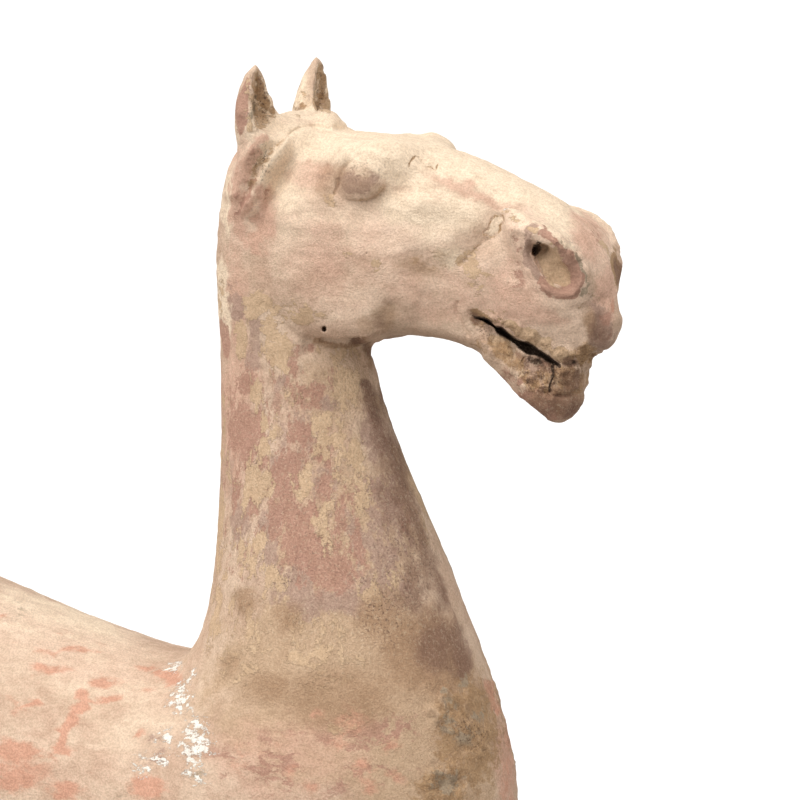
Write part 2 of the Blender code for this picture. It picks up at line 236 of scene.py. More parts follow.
def swelling(pixels, centre, radii, lean):
    """A dome seen as an ellipse, leaning by degrees: one at its middle, nought at its rim."""
    lean = math.radians(lean)
    gap = pixels - np.array(centre)
    along = (gap @ np.array((math.cos(lean), -math.sin(lean)))) / radii[0]
    across = (gap @ np.array((math.sin(lean), math.cos(lean)))) / radii[1]
    return np.clip(1 - along**2 - across**2, 0, 1) ** 0.65


def reshape(obj, marks, side=RIGHT):
    """Lifts the skin on both sides by these marks: millimetres, a shape and what it is drawn with."""
    places, normals = places_of(obj), normals_of(obj)
    pixels = seen(places, side)
    lift = sum(height * shape(pixels, *drawn) for height, shape, *drawn in marks)
    lift *= turned_to_eye(places, normals, side)
    put_places(obj, places + normals * (lift * 0.001)[:, None])


# Fresh clay is laid over the plain eye, nostril, lips and forelock before they are cut.
EYE_BED = [
    (325, 150), (345, 140), (400, 146), (432, 158), (430, 185), (395, 212), (345, 212), (325, 190),
]
NOSTRIL_BED = [(505, 210), (545, 218), (590, 250), (597, 300), (560, 312), (530, 295), (512, 250)]
MOUTH_BED = [(455, 300), (490, 308), (540, 338), (580, 355), (566, 385), (510, 360), (470, 335)]
ROLL_BED = [
    (280, 136), (262, 139), (243, 160), (232, 190), (228, 222), (242, 226), (254, 195), (270, 156),
]
EAR_BED = [(240, 60), (264, 60), (282, 118), (262, 134), (244, 120)]
pixels = seen(places_of(horse))
facing = turned_to_eye(places_of(horse), normals_of(horse))
beds = (EYE_BED, NOSTRIL_BED, MOUTH_BED, ROLL_BED)
weigh(horse, "fresh clay", sum(inside(pixels, outline, 6) for outline in beds) * facing)
finished_with(horse, "SMOOTH", factor=0.6, iterations=80, vertex_group="fresh clay")
weigh(horse, "ears", inside(pixels, EAR_BED, 4))
finished_with(horse, "SMOOTH", factor=0.5, iterations=28, vertex_group="ears")

# Ears, forelock and the roll behind the cheek. The ears are pinched up with a hollow in front, the
# forelock is a flat pad laid over the poll, and a roll of clay runs down from it behind the cheek.
EAR = [(236, 104), (244, 79), (254, 60), (262, 78), (272, 98), (277, 116), (258, 128), (240, 130)]
EAR_TIP = [(246, 74), (255, 56), (264, 76), (255, 84)]
EAR_HOLLOW = [(257, 130), (255, 116), (254, 100), (254, 86), (256, 74)]
EAR_RIM = [(251, 132), (251.5, 112), (251, 92), (253.5, 72)]
POLL_PAD = [
    (276, 90), (300, 90), (330, 90), (352, 110), (348, 129), (333, 127), (318, 126), (304, 126),
    (294, 129), (286, 136), (278, 142), (262, 140), (262, 124),
]
POLL_NOSE = [(316, 88), (342, 92), (340, 120), (337, 130), (329, 132), (318, 122)]
POLL_FRONT = [(348, 131), (336, 128), (322, 127), (307, 126), (295, 130), (286, 138), (276, 146)]
CHEEK_BACK = [(290, 134), (279, 145), (271, 153), (263, 165), (257, 178), (249, 194), (238, 217)]
RECESS = [(277, 145), (266, 156), (257, 170), (249, 187), (238, 214)]
ROLL_CREST = [(268, 139), (255, 147), (246, 162), (240, 183), (234, 206)]
ROLL_BACK = [(250, 138), (246, 147), (241, 160), (236, 178), (233, 195), (230, 214)]
reshape(
    horse,
    [
        (0.5, inside, EAR, 3),
        (-0.7, inside, EAR_TIP, 5),
        (-1.3, ledge, EAR_HOLLOW, 1.5, 18),
        (0.8, groove, EAR_RIM, 1.8),
        (1.1, inside, POLL_PAD, 3),
        (4.2, inside, POLL_NOSE, 5),
        (1.7, ledge, CHEEK_BACK[::-1], 2.5, 80),
        (-0.9, groove, RECESS, 6),
        (3.2, ledge, CHEEK_BACK[::-1], 3, 16),
        (2.6, groove, ROLL_CREST, 7),
        (0.8, ledge, ROLL_BACK[::-1], 1.5, 14),
    ],
)
EAR_ROOT, EAR_TOP = 0.655, 0.68
NEAR_EAR_RAISED, FAR_EAR_RAISED, FAR_EAR_FORWARD = 0.0018, 0.0026, 0.0014
FAR_EAR_HOLLOW = [(314, 113), (314, 100), (314, 88), (315.5, 77), (318, 67)]
FAR_BROW = [(426, 126), (446, 128), (450, 145), (438, 146), (426, 142)]
reshape(
    horse,
    [(-1.0, ledge, FAR_EAR_HOLLOW, 1.5, 16), (2.2, inside, FAR_BROW, 7)],
    LEFT,
)

places = places_of(horse)
pulled = eased(places[:, 2], EAR_ROOT, EAR_TOP)
places[:, 2] += pulled * np.where(places[:, 1] > 0, FAR_EAR_RAISED, NEAR_EAR_RAISED)
places[:, 0] += pulled * np.where(places[:, 1] > 0, FAR_EAR_FORWARD, 0)
put_places(horse, places)

# Cheek, brow and eye. The cheek is a flat plate with a sharp lower edge over the throat, and the
# eye a big plain ball, cut round in front and below, with one deep crease for the lid behind it.
CHEEK_EDGE = [
    (262, 172), (259, 200), (260, 235), (264, 263), (270, 288), (277, 309), (289, 326), (303, 334),
]
JAW_EDGE = [(280, 318), (296, 331), (312, 337), (330, 340), (350, 338), (366, 336), (384, 328)]
UNDER_JAW = [(300, 342), (318, 347), (336, 351), (352, 352), (366, 350)]
JAW_CREASE = [(318, 340), (330, 342), (340, 343), (352, 341), (362, 338)]
THROAT_LINE = [(378, 341), (400, 339), (430, 342), (455, 347), (470, 352), (484, 360)]
BROW = [(338, 150), (365, 146), (400, 148), (425, 154)]
EYE_CENTRE, EYE_RADII, EYE_LEAN = (361, 180), (27, 22), 10
EYE_CUT = [(385, 178), (384, 188), (378, 196), (370, 200), (358, 201.5), (345, 201)]
EYE_SIDE = [(399, 146), (402, 165), (399, 184)]
LID_FOLD = [(333, 197), (337, 188), (340, 179), (343, 170), (347, 164), (353, 160), (361, 157)]
OUTER_LID = [(323, 194), (328, 180), (334, 168), (343, 158), (355, 152)]
LID_SHADE = [(308, 200), (311, 186), (318, 172), (328, 160)]
FACE_GROOVE = [(382, 191), (394, 190), (408, 191), (424, 191), (440, 189)]
CHEEKBONE = [(360, 213), (385, 204), (412, 201), (440, 204), (470, 216)]
FACE_FILL = [(388, 240), (415, 241), (440, 245), (462, 254)]
JAW_DIP = [(378, 332), (386, 314), (398, 298)]
JAW_FILL = [(414, 326), (410, 306), (416, 290)]
reshape(
    horse,
    [
        (1.1, ledge, CHEEK_EDGE[::-1], 3, 34),
        (-0.7, groove, CHEEK_EDGE, 4),
        (1.6, ledge, JAW_EDGE[::-1], 2.5, 18),
        (-3.0, groove, UNDER_JAW, 11),
        (-3.2, groove, JAW_CREASE, 2.5),
        (-2.0, groove, THROAT_LINE, 8),
        (1.0, groove, BROW, 18),
        (3.5, swelling, EYE_CENTRE, EYE_RADII, EYE_LEAN),
        (1.0, ledge, EYE_CUT, 2.5, 16),
        (1.1, groove, OUTER_LID, 6, 0.2),
        (1.2, groove, EYE_SIDE, 13, 0.3),
        (-1.5, groove, LID_FOLD[:-1], 2.2, 0.25),
        (1.1, ledge, LID_FOLD[::-1], 1.8, 9, 0.3),
        (-0.9, groove, LID_SHADE, 8),
        (-0.8, groove, FACE_GROOVE, 5, 0.3),
        (0.5, groove, CHEEKBONE, 12, 0.3),
        (2.6, groove, FACE_FILL, 19, 0.3),
        (-1.6, groove, JAW_DIP, 10, 0.3),
        (1.2, groove, JAW_FILL, 11, 0.3),
    ],
)

# The nostril is a dish pressed in with the thumb inside a raised ring, with a small hole poked in
# its upper corner. A crest runs over it from the face to the front of the muzzle.
NOSTRIL_RIM = [
    (541, 229), (553, 237), (567, 248), (578, 262), (584, 278), (580, 292), (570, 299), (556, 299),
    (545, 293), (538, 283), (530, 273), (524, 259), (523, 243), (530, 232),
]
NOSTRIL_DISH = [
    (542, 243), (551, 247), (560, 257), (568, 270), (571, 283), (563, 287), (551, 281), (543, 272),
    (538, 262), (535, 252), (536, 245),
]
NOSTRIL_DEEP = [(539, 242), (543, 248), (540, 256), (544, 266), (540, 267), (534, 256)]
NOSTRIL_RING = [
    (524, 236), (520, 250), (525, 266), (534, 279), (543, 289), (557, 295), (571, 295), (580, 286),
    (579, 271), (570, 256), (558, 244), (545, 234),
]
WING_CREST = [(500, 209), (518, 216), (535, 224), (552, 232), (572, 249), (584, 265), (591, 285)]
WING_SHADE = [(592, 260), (597, 278), (595, 297), (586, 309), (566, 309)]
NOSTRIL_BACK = [(516, 228), (514, 245), (518, 266), (530, 286), (543, 303)]
NOSE_FOLD = [(560, 203), (583, 222), (600, 250), (611, 288)]
LIP_LOBE = [(607, 292), (601, 312), (598, 330), (597, 345)]
LIP_FRONT = [(608, 318), (622, 316), (622, 352), (604, 352), (603, 340)]
MUZZLE_HOLLOW = [(503, 214), (497, 228), (486, 244), (472, 258), (458, 268)]
CHIP = [
    (496, 214), (501, 216), (503, 221), (500, 225), (499, 230), (494, 235), (490, 236), (487, 234),
    (484, 234), (485, 231), (489, 229), (490, 224), (492, 219),
]
reshape(
    horse,
    [
        (1.5, inside, NOSTRIL_RIM, 3),
        (1.2, groove, NOSTRIL_RING, 4.5, 0.05),
        (-1.9, inside, NOSTRIL_DISH, 2.5),
        (-0.6, inside, NOSTRIL_DEEP, 2),
        (1.6, groove, WING_CREST, 4),
        (-1.4, groove, WING_SHADE, 5),
        (-1.2, groove, NOSTRIL_BACK, 5),
        (-0.8, groove, NOSE_FOLD, 6),
        (-1.2, groove, LIP_LOBE, 4),
        (1.6, inside, LIP_FRONT, 5),
        (-0.9, groove, MUZZLE_HOLLOW, 8),
    ],
)

# The mouth is cut open along the side, with worn lips, a broken block of teeth in the lower jaw
# and crusts of old earth on both.
MOUTH_LINE = [(466, 312), (482, 319), (497, 330), (513, 341), (530, 350), (545, 358), (562, 366)]
UPPER_LIP = [(479, 311), (496, 321), (513, 331), (533, 341), (552, 351), (572, 359)]
LIP_CORNER = [(458, 300), (456, 312), (462, 325), (470, 338)]
LOWER_LIP = [(468, 328), (486, 343), (503, 360), (520, 380), (540, 393), (560, 400)]
TEETH = [(524, 362), (540, 368), (556, 374), (576, 377)]
LIP_GROOVE = [(519, 378), (530, 384), (542, 390), (556, 395), (570, 395), (580, 388)]
TOOTH = [(523, 360), (530, 355), (542, 358), (552, 366), (554, 380), (549, 391), (536, 389), (526, 379)]
SECOND_TOOTH = [(558, 368), (570, 366), (583, 369), (585, 380), (582, 391), (569, 394), (557, 390)]
CHIN_LINE = [(516, 402), (526, 409), (535, 415), (546, 423)]
TEETH_FRONT = [(566, 350), (580, 354), (590, 352)]
CHIN_FRONT = [(570, 384), (590, 380), (594, 400), (578, 412)]
reshape(
    horse,
    [
        (-1.4, groove, MOUTH_LINE, 3.5, 0.06),
        (1.6, groove, UPPER_LIP, 7),
        (1.2, groove, LOWER_LIP, 6),
        (-0.8, groove, LIP_CORNER, 3),
        (0.8, groove, TEETH, 9),
        (1.5, inside, TOOTH, 2),
        (1.3, inside, SECOND_TOOTH, 2.5),
        (1.8, groove, TEETH_FRONT, 6),
        (-1.4, groove, LIP_GROOVE, 3),
        (-2.2, groove, CHIN_LINE, 6),
        (1.0, inside, CHIN_FRONT, 4),
    ],
)

# The mouth gap and the nostril holes go deeper than pressed marks and are cut out.
GAP_TOP = [
    (474, 316.5), (480, 317), (487, 318.5), (492, 323), (496, 327), (501, 326.5), (505, 330),
    (509, 333.5), (513, 337.5), (518, 340.5), (526, 342), (534, 345.5), (539, 350), (545, 353.5),
    (551, 358), (557, 362.5), (561, 365.5),
]
GAP_FOOT = [
    (474, 318), (480, 319.5), (488, 323.5), (494, 327.5), (497, 332), (503, 336), (509, 339),
    (515, 343.5), (522, 350), (528, 354), (535, 354.5), (541, 356.5), (547, 361), (555, 364.5),
    (560, 367),
]
HOLE_CENTRE, HOLE_RADII, HOLE_LEAN = (537, 249), (3, 7.5), 16
PIN_HOLES = [((367, 253), 1.6), ((324, 328.5), 3)]


def ray_through(pixel):
    """Direction of sight through a pixel."""
    across = (pixel[0] - PICTURE_PIXELS / 2) * METRES_PER_PIXEL
    down = (pixel[1] - PICTURE_PIXELS / 2) * METRES_PER_PIXEL
    return (VIEW_TARGET + view_right * across - view_up * down - eye_point).normalized()


def add_plug(cutter, skin, ring, depth, narrowing, heading):
    """A closed plug under a ring of pixels, from just outside the skin inwards, on both sides."""
    rays = [ray_through(pixel) for pixel in ring]
    hits = [skin.ray_cast(eye_point, ray)[0] for ray in rays]
    middle = sum(hits, Vector()) / len(hits)
    outer = [hit - ray * 0.004 for hit, ray in zip(hits, rays)]
    inner = [middle + (hit - middle) * narrowing + heading * depth for hit in hits]
    for side in (1, -1):
        flip = Vector((1, side, 1))
        rims = [[cutter.verts.new(place * flip) for place in rim] for rim in (outer, inner)]
        faces = [
            cutter.faces.new((rims[0][i - 1], rims[0][i], rims[1][i], rims[1][i - 1]))
            for i in range(len(ring))
        ]
        faces += [cutter.faces.new(rims[0][::-1]), cutter.faces.new(rims[1])]
        flat = bmesh.ops.triangulate(cutter, faces=faces)["faces"]
        bmesh.ops.recalc_face_normals(cutter, faces=flat)


def oval(centre, radii, lean=0, count=14):
    """A ring of pixels round a centre, its top leaning right by degrees."""
    lean = math.radians(lean)
    ring = []
    for i in range(count):
        turn = math.tau * i / count
        x, y = radii[0] * math.cos(turn), radii[1] * math.sin(turn)
        ring.append((
            centre[0] + x * math.cos(lean) - y * math.sin(lean),
            centre[1] + x * math.sin(lean) + y * math.cos(lean),
        ))
    return ring


def mesh_of(name, builder):
    """A new object from a bmesh, which is freed."""
    mesh = bpy.data.meshes.new(name)
    builder.to_mesh(mesh)
    builder.free()
    obj = bpy.data.objects.new(name, mesh)
    bpy.context.scene.collection.objects.link(obj)
    return obj


skin = BVHTree.FromObject(horse, bpy.context.evaluated_depsgraph_get())
cutter = bmesh.new()
add_plug(cutter, skin, GAP_TOP + GAP_FOOT[::-1], 0.014, 0.9, -view_back)
backward = (-view_back - view_right * 0.3).normalized()
add_plug(cutter, skin, oval(HOLE_CENTRE, HOLE_RADII, HOLE_LEAN), 0.012, 0.6, backward)
for centre, radius in PIN_HOLES:
    add_plug(cutter, skin, oval(centre, (radius, 1.2 * radius), 0, 8), 0.01, 0.8, -view_back)
plugs = mesh_of("plugs", cutter)
finished_with(horse, "BOOLEAN", object=plugs, operation="DIFFERENCE", solver="EXACT")
bpy.data.objects.remove(plugs)

# Hands, paddle and scraper leave the skin uneven: broad dents, scraped streaks along the neck, legs
# and face, and a fine sandy tooth, with rough crusts of old earth in the mouth and on the chest.
LATTICE = np.random.default_rng(7).random((64, 64, 64))
CRUSTS = [
    ((548, 376), 26, 0.9), ((575, 362), 14, 1), ((490, 326), 12, 0.7), ((448, 712), 24, 0.65),
    ((475, 742), 22, 0.55), ((446, 784), 26, 0.7), ((462, 700), 12, 0.5), ((436, 690), 16, 0.5),
    ((264, 104), 12, 0.6), ((254, 172), 12, 0.35), ((560, 243), 8, 0.5), ((576, 255), 8, 0.5),
    ((556, 268), 12, 0.35), ((530, 362), 14, 1), ((585, 352), 10, 0.9), ((505, 345), 12, 0.8),
    ((498, 353), 10, 0.6), ((512, 367), 10, 0.6), ((486, 338), 8, 0.6), ((478, 181), 9, 0.3),
    ((425, 163), 9, 0.3), ((496, 320), 9, 0.7), ((513, 330), 9, 0.8), ((530, 339), 9, 0.8),
    ((548, 347), 9, 0.8), ((564, 354), 9, 0.8), ((321, 90), 12, 0.5), ((318, 104), 8, 0.5),
]
CRACKS = [
    [(553, 369), (556, 374), (552, 381), (551, 388)],
    [(521, 363), (525, 357), (531, 354)],
    [(409, 167), (412, 160), (415, 157), (420, 158), (423, 163)],
    [(425, 167), (431, 167), (436, 169), (438, 164)],
    [(295, 105), (299, 106), (303, 107)],
]


def mottle(places, size, shift=0.0):
    """Soft unevenness from 0 to 1 with lumps of a size in metres, or a size along each axis."""
    scaled = places / size + shift
    cell = np.floor(scaled).astype(int)
    t = scaled - cell
    t = t * t * (3 - 2 * t)
    total = np.zeros(len(places))
    for corner in np.ndindex(2, 2, 2):
        weight = np.prod(np.where(corner, t, 1 - t), axis=1)
        i = (cell + corner) % 64
        total += weight * LATTICE[i[:, 0], i[:, 1], i[:, 2]]
    return total


def upright_share(places):
    """One on the neck and legs, which were scraped and brushed up and down, nought elsewhere."""
    x, _, z = places.T
    neck = eased(z, 0.385, 0.42) * eased(-z, -0.57, -0.53) * eased(x, 0.02, 0.05)
    return np.maximum(neck, eased(-z, -0.27, -0.22))


def whole_share(pixels):
    """Nought at the cut openings and one a few pixels away from them."""
    gap = inside(pixels, GAP_TOP + GAP_FOOT[::-1], 5)
    hole = inside(pixels, oval(HOLE_CENTRE, HOLE_RADII, HOLE_LEAN), 4)
    return np.clip(1 - 2 * np.maximum(gap, hole), 0, 1)


def crust_share(pixels):
    """How thickly old earth lies at each place."""
    crust = np.zeros(len(pixels))
    for centre, reach, strength in CRUSTS:
        away = np.hypot(*(pixels - np.array(centre)).T)
        crust = np.maximum(crust, strength * eased(-away, -1.3 * reach, -0.6 * reach))
    return crust


# Widths of the lumps in metres, and the heights between which the neck turns into the head.
BROAD_DENT, HAND_DENT, SAND = 0.045, 0.014, 0.0035
STREAK_LENGTH, STREAK_WIDTH = 0.022, 0.004
CRUST_LUMP, CRUST_CRUMB = 0.005, 0.0026
FINE_LUMP, FINE_CRUMB = 0.0030, 0.0017
HEAD_STARTS = (0.47, 0.52)
places = places_of(horse)
pixels = seen(places)
upright = upright_share(places)
streak_up = mottle(places, (STREAK_WIDTH, STREAK_WIDTH, STREAK_LENGTH), 3.1)
streak_along = mottle(places, (STREAK_LENGTH, STREAK_WIDTH, STREAK_WIDTH), 5.7)
streaks = upright * streak_up + (1 - upright) * streak_along
crust = crust_share(pixels)
dented = 1.2 - 0.7 * eased(places[:, 2], *HEAD_STARTS)
lift = dented * (mottle(places, BROAD_DENT) - 0.5) + 0.8 * (mottle(places, HAND_DENT, 9.2) - 0.5)
lift += 0.6 * (streaks - 0.5) + 0.5 * (mottle(places, SAND, 2.4) - 0.5)
lift += crust * (2.0 * mottle(places, CRUST_LUMP, 4.4) + 1.6 * mottle(places, CRUST_CRUMB, 7.9) - 1.6)
lift *= eased(places[:, 2], 0.001, 0.004) * whole_share(pixels)
quiet = eased(places[:, 2], SLAB_TOP + 0.002, SLAB_TOP + 0.01)
put_places(horse, places + normals_of(horse) * (lift * (0.3 + 0.7 * quiet) * 0.001)[:, None])

# The skin is thinned out, least of all on the head, so that the detail stays where it is fine.
SKIN_TRIANGLES = 116000
HEAD_SHARE = 0.12
THIN_STRENGTH = 0.0004
places = places_of(horse)
head = eased(places[:, 2], *HEAD_STARTS)
weigh(horse, "plain", 1 - (1 - HEAD_SHARE) * head)
triangles = sum(len(face.vertices) - 2 for face in horse.data.polygons)
finished_with(
    horse,
    "DECIMATE",
    ratio=SKIN_TRIANGLES / triangles,
    vertex_group="plain",
    vertex_group_factor=THIN_STRENGTH,
)
horse.vertex_groups.clear()

# Last come the sharp cuts of the blade and the fine cracks, which need a finer skin along them.
# Each is a line, its reach in pixels and its height in millimetres.
NOSTRIL_CREASE = [(535, 256), (538, 263), (542, 270), (547, 277)]
MUZZLE_CREASE = [(489, 237), (478, 247), (468, 258), (458, 266)]
EAR_CREASE = [(255.5, 122), (255, 106), (255.5, 90), (257, 78)]
FINE_CUTS = [
    (LID_FOLD[:-1], 1.3, -0.7), (EYE_CUT, 1.6, -0.35), (POLL_FRONT, 1.6, -0.6), (JAW_CREASE, 2, -1.2),
    (LIP_GROOVE, 1.8, -0.6), (LIP_CORNER, 1.5, -0.5), (ROLL_BACK, 1.5, -0.4),
    (CHIP + CHIP[:1], 1.1, -0.6), (NOSTRIL_CREASE, 1.6, -0.9), (MUZZLE_CREASE, 2.2, -0.6),
    (EAR_CREASE, 1.5, -0.9), (NOSTRIL_RIM + NOSTRIL_RIM[:1], 1.4, -0.35),
] + [(crack, 0.9, -0.6) for crack in CRACKS]


def near_cuts(places, extra):
    """True where a place lies within reach of a cut, plus some extra pixels."""
    pixels = seen(places)
    close = np.zeros(len(places), bool)
    for points, reach, _ in FINE_CUTS:
        away, _ = beside(pixels, curved(points), reach * 2 + extra)
        close |= np.abs(away) < reach * 2 + extra
    return close & (places[:, 2] > 0.44)


for extra in (1.5, 0):
    close = near_cuts(places_of(horse), extra)
    if extra:
        close |= crust_share(seen(places_of(horse))) > 0.45
    close &= turned_to_eye(places_of(horse), normals_of(horse)) > 0.3
    clay = bmesh.new()
    clay.from_mesh(horse.data)
    clay.verts.ensure_lookup_table()
    edges = list({e for i in np.flatnonzero(close) for e in clay.verts[i].link_edges})
    bmesh.ops.subdivide_edges(clay, edges=edges, cuts=1)
    bmesh.ops.triangulate(clay, faces=[face for face in clay.faces if len(face.verts) > 3])
    clay.to_mesh(horse.data)
    clay.free()
reshape(horse, [(height, groove, points, reach, 0.08) for points, reach, height in FINE_CUTS])
places = places_of(horse)
fine_lumps = 1.5 * mottle(places, FINE_LUMP, 5.5) + 1.1 * mottle(places, FINE_CRUMB, 8.3) - 1.3
fine_lumps *= crust_share(seen(places)) * whole_share(seen(places)) * 0.001
put_places(horse, places + normals_of(horse) * fine_lumps[:, None])

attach(horse, "root")
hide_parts("horse_figure")
horse.data.shade_smooth()
